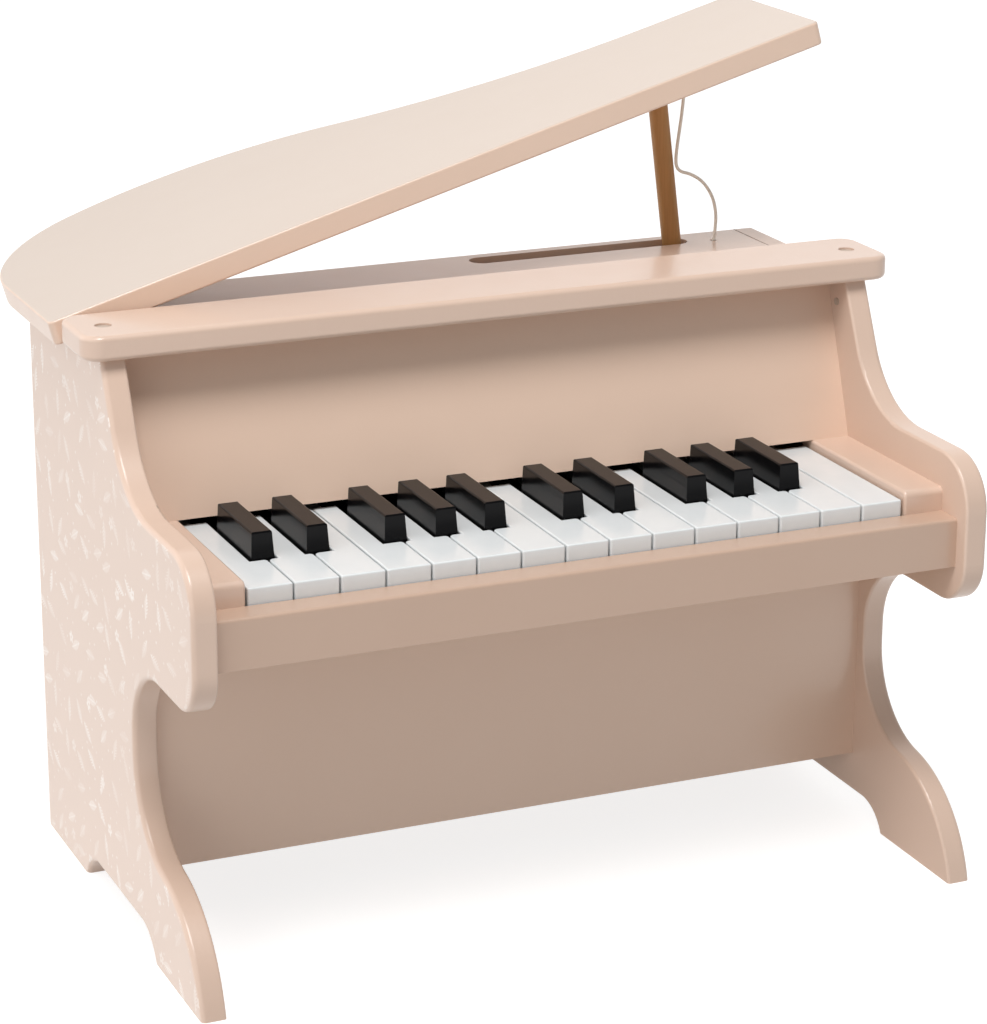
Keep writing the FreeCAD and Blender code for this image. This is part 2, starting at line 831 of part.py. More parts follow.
# Back panel, screwed to battens above and below the key bed
back_height = panel_low - s.skirt_height
batten_x = inner - s.batten / 2
batten_front = back_front - s.batten
back_spots = [
    (x, s.skirt_height + back_height * share) for x in (-batten_x, batten_x) for share in BACK_SCREW_SHARES
]
back_panel = plate(
    "back_panel",
    "XY_Plane",
    rectangle(-inner, back_front, inner, back),
    s.skirt_height,
    back_height,
)
drill(back_panel, "XZ_Plane", -back_front, s.back_board, [(spot, small_bore) for spot in back_spots])
keep("back_panel", back_panel)
screw_tip = back - s.small_screw_length
battens = []
for side, low_x in (("left", -inner), ("right", inner - s.batten)):
    for part, low_z, high_z in (("lower", s.skirt_height, s.bed_height), ("upper", bed_top, panel_low)):
        body = plate(
            f"{side}_{part}_batten",
            "XY_Plane",
            rectangle(low_x, batten_front, low_x + s.batten, back_front),
            low_z,
            high_z - low_z,
        )
        spots = [
            (spot, small_bore)
            for spot in back_spots
            if value_of(low_z) < value_of(spot[1]) < value_of(high_z)
            and value_of(low_x) < value_of(spot[0]) < value_of(low_x + s.batten)
        ]
        drill(body, "XZ_Plane", -screw_tip, back_front - screw_tip, spots)
        battens.append(body)
group("back_battens", battens)
group(
    "back_panel_screws",
    [
        screw(
            f"back_screw_{number}",
            s.small_head,
            s.small_head_height,
            s.small_shank,
            s.small_screw_length,
            (spot[0], screw_tip, spot[1]),
            "y",
        )
        for number, spot in enumerate(back_spots, start=1)
    ],
)

# Places of the keys along the keyboard
black_centres = {
    number: s.key_pitch * (number + 1 + BLACK_OFFSET_SHARES[number % OCTAVE]) - keys_half
    for number in range(WHITE_KEYS - 1)
    if number % OCTAVE in BLACK_OFFSET_SHARES
}
cut_half = (s.black_width + s.black_top_width) / 4 + s.cut_gap
cap_low = key_top - s.cap_height
hammer_y = derive("hammer_y", tone_low - s.hammer_gap - s.hammer_length)
hammer_back = hammer_y + s.hammer_length
hammer_top = rod_height - s.rod_radius - s.strike_gap - (hammer_back - axle_y) * PRESS_SHARE
tail = hammer_back + s.lever_tail


def lever(body, centre, nose, root_back, root_top):
    """Adds a key's lever: root under the cap, bore for the axle, tail with its hammer head."""
    low = centre - s.lever_width / 2
    crown = hammer_top - s.hammer_length / 2
    sketch = sketch_on(body, "YZ_Plane", low)
    draw(sketch, [
        (nose, root_top),
        (root_back, root_top),
        (root_back, lever_top),
        (hammer_y, lever_top),
        (hammer_y, crown),
        ((hammer_y + s.hammer_length / 2, hammer_top), (hammer_back, crown)),
        (hammer_back, lever_top),
        (tail, lever_top),
        (tail, lever_low),
        (nose + s.lever_chamfer, lever_low),
        (nose, lever_low + s.lever_chamfer),
    ])
    draw_ring(sketch, (axle_y, axle_height), s.axle_radius + s.running_gap)
    pad(body, sketch, s.lever_width)


def hollow(body, low):
    """Opens the underside of a key's cap and leaves a wall all round."""
    doc.recompute()
    base = body.Tip
    under = [
        f"Face{number}"
        for number, face in enumerate(base.Shape.Faces, start=1)
        if face.BoundBox.ZMax < value_of(low) + TOLERANCE
    ]
    shell = body.newObject("PartDesign::Thickness", f"{body.Name}_shell")
    shell.Base = (base, under)
    bind(shell, "Value", s.cap_wall)
    shell.Reversed = True


def white_key(name, number):
    """A white key: a hollow cap, cut back beside the black keys, on its lever."""
    left = s.key_pitch * number - keys_half + s.key_gap / 2
    right = left + s.key_pitch - s.key_gap
    cut_y = key_front + s.cut_front
    path = [(right, key_front)]
    rear_left, rear_right = left, right
    if number in black_centres:
        rear_right = black_centres[number] - cut_half
        path += [(right, cut_y), (rear_right, cut_y)]
    path += [(rear_right, cap_back)]
    if number - 1 in black_centres:
        rear_left = black_centres[number - 1] + cut_half
        path += [(rear_left, cap_back), (rear_left, cut_y), (left, cut_y)]
    else:
        path += [(left, cap_back)]
    path += [(left, key_front)]
    body = plate(name, "XY_Plane", path, cap_low, s.cap_height)
    hollow(body, cap_low)
    mouths = [edge_x for edge_x, rear in ((left, rear_left), (right, rear_right)) if edge_x is not rear]

    def mouth_edge(edge):
        return on_plane(edge, "Y", cut_y) and any(on_plane(edge, "X", edge_x) for edge_x in mouths)

    def front_corner(edge):
        return on_plane(edge, "Y", key_front) and any(on_plane(edge, "X", edge_x) for edge_x in (left, right))

    if mouths:
        fillet(body, s.cut_round, mouth_edge)
    fillet(body, s.cap_corner, front_corner)
    fillet(body, s.cap_round, at_levels(Z=key_top))
    centre = (rear_left + rear_right) / 2
    lever(body, centre, key_front + s.lever_nose, cap_back - s.cap_wall / 2, key_top - s.lever_root)
    keep(name, body)
    return centre


def black_key(name, centre):
    """A black key: a tapered hollow cap with a raked front, on its lever."""
    body = new_body(name)
    front_y = key_front + s.cut_front + s.black_gap
    back_y = front_y + s.black_length
    high = key_top + s.black_rise
    sections = []
    for level, width, rake in ((cap_low, s.black_width, 0), (high, s.black_top_width, s.black_rake)):
        sketch = sketch_on(body, "XY_Plane", level)
        draw(sketch, rectangle(centre - width / 2, front_y + rake, centre + width / 2, back_y))
        sections.append(sketch)
    loft = body.newObject("PartDesign::AdditiveLoft", f"{name}_loft")
    loft.Profile = sections[0]
    loft.Sections = sections[1:]
    loft.Ruled = True
    hollow(body, cap_low)
    fillet(body, s.cap_round, at_levels(Z=high))
    lever(body, centre, key_front + s.lever_nose, back_y - s.cap_wall / 2, key_top - s.lever_root)
    keep(name, body)
    return centre


lever_centres = []
black_names = {number: f"black_key_{count:02d}" for count, number in enumerate(black_centres, start=1)}
for number in range(WHITE_KEYS):
    lever_centres.append(white_key(f"white_key_{number + 1:02d}", number))
    if number in black_centres:
        lever_centres.append(black_key(black_names[number], black_centres[number]))

# Steel axle through all the levers
keep("key_axle", rod("key_axle", s.axle_radius, (-inner, axle_y, axle_height), inner + inner, "x"))

# Axle rail: a moulded bar on the key bed with upright lugs between the levers
comb_top = rail_ledge + s.comb_thickness
lug_edges = [-block_in - s.lever_width / 2, *lever_centres, block_in + s.lever_width / 2]
lugs = []
for number, place_number in enumerate(LUG_PLACES, start=1):
    centre = (lug_edges[place_number] + lug_edges[place_number + 1]) / 2
    lug = block(
        f"axle_lug_{number}",
        (centre - s.lug_thickness / 2, axle_y - s.lug_depth / 2, bed_top),
        (centre + s.lug_thickness / 2, axle_y + s.lug_depth / 2, axle_height + s.lug_crown),
    )
    lugs.append(lug)
axle_bar = block(
    "axle_bar",
    (-block_in, axle_rail_low, bed_top),
    (block_in, axle_rail_low + s.axle_rail_depth, rail_ledge),
)
axle_bore = s.axle_radius + s.running_gap
rail_holes = [rod("axle_bore", axle_bore, (-inner, axle_y, axle_height), 2 * inner, "x")]
axle_screws = []
for number, (x, y) in enumerate(axle_spots, start=1):
    rail_holes.append(rod(f"rail_hole_{number}", small_bore, (x, y, bed_top), rail_ledge - bed_top, "z"))
    rail_holes.append(
        rod(f"rail_recess_{number}", s.small_head + s.screw_gap, (x, y, rail_screw_seat), s.rail_recess, "z")
    )
    axle_screws.append(
        screw(
            f"axle_screw_{number}",
            s.small_head,
            s.small_head_height,
            s.small_shank,
            s.rail_screw_length,
            (x, y, rail_screw_tip),
            "z",
        )
    )
keep("axle_rail", cut("axle_rail", fuse("axle_rail_bar", [axle_bar, *lugs]), fuse("rail_holes", rail_holes)))
group("axle_rail_screws", axle_screws)

# Spring comb: a strip of spring steel on the axle rail, one finger up under each lever
comb_back = axle_rail_low + s.comb_depth
comb_parts = [block("comb_strip", (-block_in, axle_rail_low, rail_ledge), (block_in, comb_back, comb_top))]
for number, centre in enumerate(lever_centres, start=1):
    finger = doc.addObject("Part::Box", f"comb_finger_{number}")
    bind(finger, "Length", s.finger_width)
    bind(finger, "Width", s.finger_length)
    bind(finger, "Height", s.comb_thickness)
    turn = FreeCAD.Rotation(FreeCAD.Vector(1, 0, 0), -value_of(s.finger_tilt))
    half_turn = FreeCAD.Rotation(FreeCAD.Vector(0, 0, 1), 180)
    finger.Placement = FreeCAD.Placement(FreeCAD.Vector(), half_turn * turn.inverted())
    place(finger, (centre + s.finger_width / 2, axle_rail_low + s.comb_depth / 4, rail_ledge))
    comb_parts.append(finger)
keep("key_spring_comb", fuse("key_spring_comb", comb_parts))

# Felt strips: one stops the key fronts, the other, on its rail, carries the tails
felt_front = key_front + s.front_felt_setback
keep("front_felt", block("front_felt", (-keys_half, felt_front, bed_top),
                         (keys_half, felt_front + s.front_felt_depth, bed_top + s.front_felt_thickness)))
tail_rail_low = tail - s.tail_rail_reach
tail_felt_top = lever_low - s.felt_touch
tail_felt_low = tail_felt_top - s.felt_thickness
keep("tail_rest_rail", block("tail_rest_rail", (-keys_half, tail_rail_low, bed_top),
                             (keys_half, tail_rail_low + s.tail_rail_depth, tail_felt_low)))
keep("tail_felt", block("tail_felt", (-keys_half, tail_rail_low, tail_felt_low),
                        (keys_half, tail_rail_low + s.tail_rail_depth, tail_felt_top)))

# Tone bar: cast iron on two feet, bored for the rods
tone_half_height = s.tone_bar_height / 2
tone_bar = plate(
    "tone_bar",
    "XY_Plane",
    rectangle(-tone_half, tone_low, tone_half, tone_low + s.tone_bar_depth),
    rod_height - tone_half_height,
    s.tone_bar_height,
)
for foot_x in (-tone_half, tone_half - s.tone_foot):
    sketch = sketch_on(tone_bar, "XY_Plane", bed_top)
    draw(sketch, rectangle(foot_x, tone_low, foot_x + s.tone_foot, tone_low + s.tone_bar_depth))
    pad(tone_bar, sketch, rod_height - bed_top)
rod_spots = [(centre, rod_height) for centre in lever_centres]
drill(tone_bar, "XZ_Plane", -tone_low, s.rod_seat, [(spot, s.rod_radius) for spot in rod_spots])
drill(tone_bar, "XY_Plane", bed_top + s.small_screw_length - s.bed_board, s.small_screw_length - s.bed_board,
      [(spot, small_bore) for spot in tone_spots])
keep("tone_bar", tone_bar)
group(
    "tone_bar_screws",
    [
        screw(
            f"tone_screw_{number}",
            s.small_head,
            s.small_head_height,
            s.small_shank,
            s.small_screw_length,
            (spot[0], spot[1], s.bed_height + s.small_screw_length),
            "-z",
        )
        for number, spot in enumerate(tone_spots, start=1)
    ],
)

# Tone rods, graded from the bass on the left to the treble on the right
rods = []
rod_long = derive("rod_long", tone_low - fall_low - s.fallboard_depth - s.rod_end_gap)
first_centre, last_centre = lever_centres[0], lever_centres[-1]
for number, centre in enumerate(lever_centres, start=1):
    grade = (centre - first_centre) / (last_centre - first_centre)
    length = rod_long - rod_long * (1 - ROD_SHORT_SHARE) * grade
    rods.append(rod(f"tone_rod_{number}", s.rod_radius, (centre, tone_low + s.rod_seat, rod_height),
                    length + s.rod_seat, "-y"))
group("tone_rods", rods)

# Lid: straight front and left end, round lobe at the back left, hollow curve to the narrow right end
lid_front = front + lid_setback
lid_back = derive("lid_back", lid_front + s.lid_depth)
lid_left = -s.lid_overhang
lobe_s = lid_left + s.lid_lobe
curve_run = lid_reach - s.lid_tail - lobe_s + s.lid_lobe * LOBE_END_SHARES[0]
crown_radius = derive("crown_radius", curve_run * CROWN_SHARE)
hollow_radius = derive("hollow_radius", curve_run * HOLLOW_SHARE)
crown_s = derive("crown_s", lobe_s + (crown_radius - s.lid_lobe) * LOBE_END_SHARES[0])
lobe_y = lid_back - crown_radius + (crown_radius - s.lid_lobe) * (1 - LOBE_END_SHARES[1])
crown_start = (crown_s - crown_radius * LOBE_END_SHARES[0], lid_back - crown_radius * LOBE_END_SHARES[1])
bend = (crown_s + crown_radius * HOLLOW_END_SHARES[0], lid_back - crown_radius * HOLLOW_END_SHARES[1])
waist_s = bend[0] + hollow_radius * HOLLOW_END_SHARES[0]
waist_y = derive("waist_y", bend[1] - hollow_radius * HOLLOW_END_SHARES[1])
tail_in = s.lid_tail_round * (1 - DIAGONAL_SHARE)
hollow_mid = (waist_s - hollow_radius * HOLLOW_MID_SHARES[0], waist_y + hollow_radius * HOLLOW_MID_SHARES[1])
crown_mid = (crown_s + crown_radius * CROWN_MID_SHARES[0], lid_back - crown_radius * CROWN_MID_SHARES[1])
lobe_mid = (lobe_s - s.lid_lobe * LOBE_MID_SHARES[0], lobe_y + s.lid_lobe * LOBE_MID_SHARES[1])
lid_path = [
    (lid_reach, lid_front),
    (lid_reach, waist_y - s.lid_tail_round),
    ((lid_reach - tail_in, waist_y - tail_in), (lid_reach - s.lid_tail_round, waist_y)),
    (waist_s, waist_y),
    (hollow_mid, bend),
    (crown_mid, crown_start),
    (lobe_mid, (lid_left, lobe_y)),
    (lid_left, lid_front),
]
lid = plate("lid", "XY_Plane", lid_path, 0, s.board)
lid_corners = [(value_of(lid_reach), value_of(lid_front)), (value_of(lid_left), value_of(lid_front))]


def lid_corner(edge):
    box = edge.BoundBox
    upright = box.ZLength > TOLERANCE
    return upright and any(abs(box.XMin - x) + abs(box.YMin - y) < TOLERANCE for x, y in lid_corners)


fillet(lid, s.lid_corner, lid_corner)
fillet(lid, s.lid_edge_round, lambda edge: on_plane(edge, "Z", 0) or on_plane(edge, "Z", s.board))

# Lid hinges: leaves let into the top of the left panel and the underside of the lid, a pin through each
hinge_starts = [lid_front + s.hinge_setback, back - s.hinge_setback - s.hinge_length]
knuckle_clear = s.knuckle_radius + s.knuckle_gap
middle_start = s.knuckle_end + s.knuckle_gap
middle_length = s.hinge_length - 2 * middle_start
screw_steps = (s.hinge_screw_in, s.hinge_length - s.hinge_screw_in)
leaf_bore = s.hinge_shank + s.screw_gap
leaf_seat = s.hinge_head + s.running_gap
lid_tilt = FreeCAD.Rotation(FreeCAD.Vector(0, 1, 0), -value_of(s.lid_angle))


def at_hinge(thing, turn):
    """Moves a piece made about the hinge line to its place, turned with the lid or not."""
    thing.Placement = FreeCAD.Placement(vector((hinge_x, 0, s.body_height)), turn)
    return thing


def mortises(body, origin_x, plane_leaf, plane_knuckle, knuckle_low):
    """Lets both hinges into a face: a shallow bed for each leaf and a groove for each knuckle."""
    for start in hinge_starts:
        low_y = start - s.knuckle_gap
        high_y = start + s.hinge_length + s.knuckle_gap
        for plane, depth, low_x, high_x in (
            (plane_leaf, s.leaf_thickness, origin_x, origin_x + s.leaf_width + s.fit_gap),
            (plane_knuckle, knuckle_clear, knuckle_low, origin_x + knuckle_clear),
        ):
            sketch = sketch_on(body, "XY_Plane", plane)
            draw(sketch, rectangle(low_x, low_y, high_x, high_y))
            pocket(body, sketch, depth)


mortises(left_panel, hinge_x, s.body_height, s.body_height, hinge_x - knuckle_clear)
mortises(lid, 0, s.leaf_thickness, knuckle_clear, -knuckle_clear)
hinge_screw_spots = [(s.hinge_screw_out, start + step) for start in hinge_starts for step in screw_steps]
drill(left_panel, "XY_Plane", s.body_height, s.hinge_screw_length + s.leaf_thickness,
      [((hinge_x + x, y), leaf_bore) for x, y in hinge_screw_spots])
drill(lid, "XY_Plane", s.hinge_screw_length + s.leaf_thickness, s.hinge_screw_length + s.leaf_thickness,
      [(spot, leaf_bore) for spot in hinge_screw_spots])
string_lid_spot = (lid_reach - s.string_lid_end, back - s.string_lid_inset)
drill(lid, "XY_Plane", s.string_seat, s.string_seat, [(string_lid_spot, s.string_hole)])
keep("left_side_panel", left_panel)
keep("lid", at_hinge(lid, lid_tilt))


def leaf(name, start, below, own, other, pin_hole):
    """A hinge leaf: flat plate, its own knuckles on the pin line, room cut for the other leaf's."""
    low_z, high_z = (-s.leaf_thickness, 0) if below else (0, s.leaf_thickness)
    flat = doc.addObject("Part::Box", f"{name}_flat")
    bind(flat, "Length", s.leaf_width)
    bind(flat, "Width", s.hinge_length)
    bind(flat, "Height", s.leaf_thickness)
    place(flat, (0, start, low_z))
    rooms = [
        rod(f"{name}_room_{number}", knuckle_clear, (0, start + first, 0), length, "y")
        for number, (first, length) in enumerate(other)
    ]
    knuckles = [
        rod(f"{name}_knuckle_{number}", s.knuckle_radius, (0, start + first, 0), length, "y")
        for number, (first, length) in enumerate(own)
    ]
    holes = [rod(f"{name}_pin_hole", pin_hole, (0, start - s.cut_overrun, 0),
                 s.hinge_length + 2 * s.cut_overrun, "y")]
    for number, step in enumerate(screw_steps):
        holes.append(rod(f"{name}_screw_hole_{number}", leaf_seat,
                         (s.hinge_screw_out, start + step, low_z - s.cut_overrun),
                         s.leaf_thickness + 2 * s.cut_overrun, "z"))
    cleared = cut(f"{name}_cleared", flat, fuse(f"{name}_rooms", rooms) if len(rooms) > 1 else rooms[0])
    solid = fuse(f"{name}_solid", [cleared, *knuckles])
    return cut(name, solid, fuse(f"{name}_holes", holes))


end_knuckles = [(0, s.knuckle_end), (s.hinge_length - s.knuckle_end, s.knuckle_end)]
end_rooms = [(-s.cut_overrun, s.knuckle_end + s.cut_overrun + s.knuckle_gap),
             (s.hinge_length - s.knuckle_end - s.knuckle_gap, s.knuckle_end + s.cut_overrun + s.knuckle_gap)]
middle_knuckle = [(middle_start, middle_length)]
middle_room = [(s.knuckle_end, s.hinge_length - 2 * s.knuckle_end)]
pin_room = s.pin_radius + s.running_gap
no_turn = FreeCAD.Rotation()
body_leaves = []
lid_leaves = []
pins = []
for number, start in enumerate(hinge_starts, start=1):
    body_leaf = leaf(f"body_leaf_{number}", start, True, end_knuckles, middle_room, s.pin_radius)
    lid_leaf = leaf(f"lid_leaf_{number}", start, False, middle_knuckle, end_rooms, pin_room)
    body_leaves.append(at_hinge(body_leaf, no_turn))
    lid_leaves.append(at_hinge(lid_leaf, lid_tilt))
    pin_end = (hinge_x, start, s.body_height)
    pins.append(rod(f"hinge_pin_{number}", s.pin_radius, pin_end, s.hinge_length, "y"))
group("hinge_body_leaves", body_leaves)
group("hinge_lid_leaves", lid_leaves)
group("hinge_pins", pins)
body_screws = []
lid_screws = []
for number, (x, y) in enumerate(hinge_screw_spots, start=1):
    sizes = (s.hinge_head, s.leaf_thickness, s.hinge_shank, s.hinge_screw_length)
    body_tip = (x, y, -s.leaf_thickness - s.hinge_screw_length)
    lid_tip = (x, y, s.leaf_thickness + s.hinge_screw_length)
    body_screws.append(at_hinge(screw(f"hinge_body_screw_{number}", *sizes, body_tip, "z"), no_turn))
    lid_screws.append(at_hinge(screw(f"hinge_lid_screw_{number}", *sizes, lid_tip, "-z"), lid_tilt))
group("hinge_body_screws", body_screws)
group("hinge_lid_screws", lid_screws)


def string_path(points):
    """Straight runs joined by the largest tangent arcs that the runs allow; prints the arcs' radii."""
    edges = []
    start = points[0]
    radii = []
    for before, corner, after in zip(points, points[1:], points[2:]):
        inward = (before - corner).normalize()
        outward = (after - corner).normalize()
        reach = STRING_BEND_SHARE * min((before - corner).Length, (after - corner).Length)
        half = inward.getAngle(outward) / 2
        radius = reach * math.tan(half)
        middle = (inward + outward).normalize()
        enter = corner + inward * reach
        leave = corner + outward * reach
        nearest = corner + middle * (radius / math.sin(half) - radius)
        edges.append(Part.LineSegment(start, enter).toShape())
        edges.append(Part.Arc(enter, nearest, leave).toShape())
        radii.append(radius)
        start = leave
    edges.append(Part.LineSegment(start, points[-1]).toShape())
    print("string radii", [round(radius, 1) for radius in radii])
    return Part.Wire(edges)


# Lid string: one tube from its seat in the lid, slack, to its knot under the top panel
mouth = vector((hinge_x + string_lid_spot[0] * lid_cosine, string_lid_spot[1],
                s.body_height + string_lid_spot[0] * lid_sine))
into_lid = vector((-lid_sine, 0, lid_cosine))
hole = vector((string_spot[0], string_spot[1], s.body_height))
aside = FreeCAD.Vector(mouth.z - hole.z, 0, 0)
route = [mouth + into_lid * value_of(depth) for depth in (s.string_seat - s.string_radius, s.string_radius)]
route += [hole + (mouth - hole) * along + aside * beside for along, beside in STRING_SHARES]
route.append(vector((string_spot[0], string_spot[1], panel_low - s.knot_radius - s.knot_gap)))
print("string route", [tuple(round(size, 2) for size in point) for point in route])
string_wire = string_path(route)
section = Part.Wire([Part.Circle(route[0], route[1] - route[0], value_of(s.string_radius)).toShape()])
tube = string_wire.makePipeShell([section], True, False)
expected = math.pi * value_of(s.string_radius) ** 2 * string_wire.Length
print("string length", round(string_wire.Length, 1), "volume ratio", round(tube.Volume / expected, 4))
knot = Part.makeSphere(value_of(s.knot_radius), route[-1])
string = doc.addObject("Part::Feature", "lid_string")
string.Shape = tube.fuse(knot)
keep("lid_string", string)

doc.recompute()
for thing in doc.Objects:
    if "Invalid" in thing.State or "Error" in thing.State:
        raise RuntimeError(f"{thing.Label} failed: {thing.State}")
for piece in pieces:
    if piece.Shape.isNull() or not piece.Shape.isValid() or not piece.Shape.Solids:
        raise RuntimeError(f"{piece.Label} has no sound solid")

os.makedirs("parts", exist_ok=True)
for piece in pieces:
    piece.Shape.exportStep(os.path.join("parts", f"{piece.Label}.step"))
print(len(pieces), "pieces written")
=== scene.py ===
"""Looks of the toy piano: finishes of its solids, seams, spring fingers, string, floor, light and camera."""
import math

import bpy
import numpy as np
from mathutils import Matrix, Vector


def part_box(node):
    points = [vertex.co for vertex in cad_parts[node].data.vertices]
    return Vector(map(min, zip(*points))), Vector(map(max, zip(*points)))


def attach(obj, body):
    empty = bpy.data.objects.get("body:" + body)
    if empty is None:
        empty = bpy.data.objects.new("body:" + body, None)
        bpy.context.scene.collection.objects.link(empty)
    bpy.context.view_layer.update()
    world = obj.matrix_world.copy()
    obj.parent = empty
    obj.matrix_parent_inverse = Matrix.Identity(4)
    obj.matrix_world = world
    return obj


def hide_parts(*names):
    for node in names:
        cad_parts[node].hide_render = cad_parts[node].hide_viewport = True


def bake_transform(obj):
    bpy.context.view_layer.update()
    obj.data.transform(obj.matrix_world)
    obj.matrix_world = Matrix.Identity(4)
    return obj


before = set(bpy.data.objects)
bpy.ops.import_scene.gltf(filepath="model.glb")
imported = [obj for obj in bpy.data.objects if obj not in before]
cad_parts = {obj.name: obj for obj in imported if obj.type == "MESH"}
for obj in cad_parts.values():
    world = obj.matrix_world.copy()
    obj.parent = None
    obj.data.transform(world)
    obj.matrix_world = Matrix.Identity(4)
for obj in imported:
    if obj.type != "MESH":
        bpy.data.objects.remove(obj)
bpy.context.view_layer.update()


# Lacquered boards of the case
# Fibreboard sprayed with a pale blush satin lacquer. It gives the eye an even colour with broad, faint
# clouds, a soft gloss, and the ripple of a sprayed coat. The two side panels have it under a print.
BLUSH = "#DBC0AE"
DEEP_BLUSH = "#D4B7A3"
CLOUD_SIZE = 0.070
CLOUD_DEPTH = 0.35
GLOSS_PATCH_SIZE = 0.017
GLOSS_SPREAD = 0.10
SATIN_ROUGHNESS = 0.27
RIPPLE_SIZE = 0.0024
RIPPLE_HEIGHT = 0.00004
UPWARD_START = 0.5
UPWARD_FULL = 0.9


def linear(code):
    """Turns an sRGB hex colour into linear red, green, blue and alpha."""
    shares = [int(code[place:place + 2], 16) / 255 for place in (1, 3, 5)]
    return [c / 12.92 if c <= 0.04045 else ((c + 0.055) / 1.055) ** 2.4 for c in shares] + [1.0]


def add(tree, kind, inputs=(), output=0, **settings):
    """Adds a node with its settings, fills or links its inputs, and gives one output, or all for None."""
    node = tree.nodes.new(f"ShaderNode{kind}")
    for name, value in settings.items():
        setattr(node, name, value)
    for name, value in dict(inputs).items():
        if isinstance(value, bpy.types.NodeSocket):
            tree.links.new(value, node.inputs[name])
        else:
            node.inputs[name].default_value = value
    return node.outputs if output is None else node.outputs[output]


def new_material(name):
    """Makes an empty node material and gives it with its tree and its object coordinates, in metres."""
    material = bpy.data.materials.new(name)
    material.use_nodes = True
    material.node_tree.nodes.clear()
    return material, material.node_tree, add(material.node_tree, "TexCoord", output="Object")


def blush_colour(tree, where, code=BLUSH, deep_code=DEEP_BLUSH):
    """Lacquer tone: the main colour, drawn a little to a deeper one in clouds."""
    clouds = add(tree, "TexNoise", {"Vector": where, "Scale": 1 / CLOUD_SIZE, "Detail": 3.0})
    share = add(tree, "Math", {0: clouds, 1: CLOUD_DEPTH}, operation="MULTIPLY")
    return add(tree, "Mix", {0: share, 6: linear(code), 7: linear(deep_code)}, 2, data_type="RGBA")


def sprayed_ripple(tree, where):
    """The normal of a sprayed coat: shallow bumps, drawn coarser than real ones so that they show."""
    ripple = add(tree, "TexNoise", {"Vector": where, "Scale": 1 / RIPPLE_SIZE, "Detail": 1.0})
    return add(tree, "Bump", {"Height": ripple, "Distance": RIPPLE_HEIGHT})


def dress(material, *names):
    """Gives CAD nodes a material in place of the one that they came with."""
    for name in names:
        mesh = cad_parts[name].data
        mesh.materials.clear()
        mesh.materials.append(material)


def satin_lacquer(name, code, deep_code, top_codes=()):
    """Satin lacquer: clouded colour under a soft gloss that varies in patches, and a clearer top coat.

    Where a second pair of colours is given, the faces that look up have it, as a painted reflection.
    """
    material, tree, where = new_material(name)
    colour = blush_colour(tree, where, code, deep_code)
    if top_codes:
        normal = add(tree, "TexCoord", output="Normal")
        rise = add(tree, "SeparateXYZ", {"Vector": normal}, "Z")
        upward = add(tree, "MapRange", {"Value": rise, "From Min": UPWARD_START, "From Max": UPWARD_FULL})
        top_colour = blush_colour(tree, where, *top_codes)
        colour = add(tree, "Mix", {0: upward, 6: colour, 7: top_colour}, 2, data_type="RGBA")
    patches = add(tree, "TexNoise", {"Vector": where, "Scale": 1 / GLOSS_PATCH_SIZE, "Detail": 2.0})
    gloss = add(tree, "Math", {0: patches, 1: GLOSS_SPREAD, 2: SATIN_ROUGHNESS}, operation="MULTIPLY_ADD")
    shader = add(tree, "BsdfPrincipled", {
        "Base Color": colour,
        "Roughness": gloss,
        "Normal": sprayed_ripple(tree, where),
        "Coat Weight": 0.3,
        "Coat Roughness": 0.14,
    })
    add(tree, "OutputMaterial", {"Surface": shader}, None)
    return material


blush = satin_lacquer("satin_blush_lacquer", BLUSH, DEEP_BLUSH)
dress(blush, "front_shelf", "top_panel", "left_key_block", "right_key_block")


# Fallboard and lower panel
# Two boards of the same make that stand back in the shade of the shelf and the keys. Their lacquer is given
# a lighter tone, which is painted light.
PAINTED_LIGHT_BLUSH = "#E4C8B4"
DEEP_PAINTED_LIGHT_BLUSH = "#DDBFA9"
dress(satin_lacquer("painted_light_blush_lacquer", PAINTED_LIGHT_BLUSH, DEEP_PAINTED_LIGHT_BLUSH), "fallboard", "lower_panel")


# Front rail
# A rail of the same board and lacquer, let in between the side panels in front of the keys. Its deeper tone
# is painted shade.
dress(satin_lacquer("painted_shade_blush_lacquer", "#C8AB97", "#C1A18C"), "front_rail")


# Printed side panels
# Lacquered boards whose outer faces carry a thin white veil and a small scattered print over it, rolled on
# unevenly and worn: fern sprigs, round blossoms and dots, in cells of 19, 27 and 9 mm. Their inner faces
# are duller, because the coat is thin there.
PRINT = "#FFFAF5"
FERN_CELL = 0.019
BLOSSOM_CELL = 0.027
DOT_CELL = 0.009
WEAR_SIZE = 0.0033
WEAR_SPREAD = 0.5
WEAR_LEAST = 0.45
ROLLER_PATCH = 0.038
VEIL_SHARE = 0.09
PRINT_SHARE = 0.64
FLAT_FACE = 0.9
PANEL_ROUGHNESS = 0.34
PRINT_ROUGHNESS = 0.12
PANEL_SPECULAR = 0.5
INNER_SPECULAR = 0.1
PANEL_COAT = 0.2


def motif(tree, flat, cell):
    """A motif's coordinates, in cells from its own middle and turned at random, and its random numbers."""
    scaled = add(tree, "VectorMath", {0: flat, 3: 1 / cell}, operation="SCALE")
    scatter = {"Vector": scaled, "Scale": 1.0, "Randomness": 0.55}
    cells = add(tree, "TexVoronoi", scatter, None, voronoi_dimensions="2D")
    inward = add(tree, "VectorMath", {0: scaled, 1: cells["Position"]}, operation="SUBTRACT")
    chance = add(tree, "SeparateColor", {"Color": cells["Color"]}, None)
    angle = add(tree, "Math", {0: chance[0], 1: math.tau}, operation="MULTIPLY")
    turned = add(tree, "VectorRotate", {"Vector": inward, "Angle": angle}, rotation_type="Z_AXIS")
    parts = add(tree, "SeparateXYZ", {"Vector": turned}, None)
    return parts[0], parts[1], chance


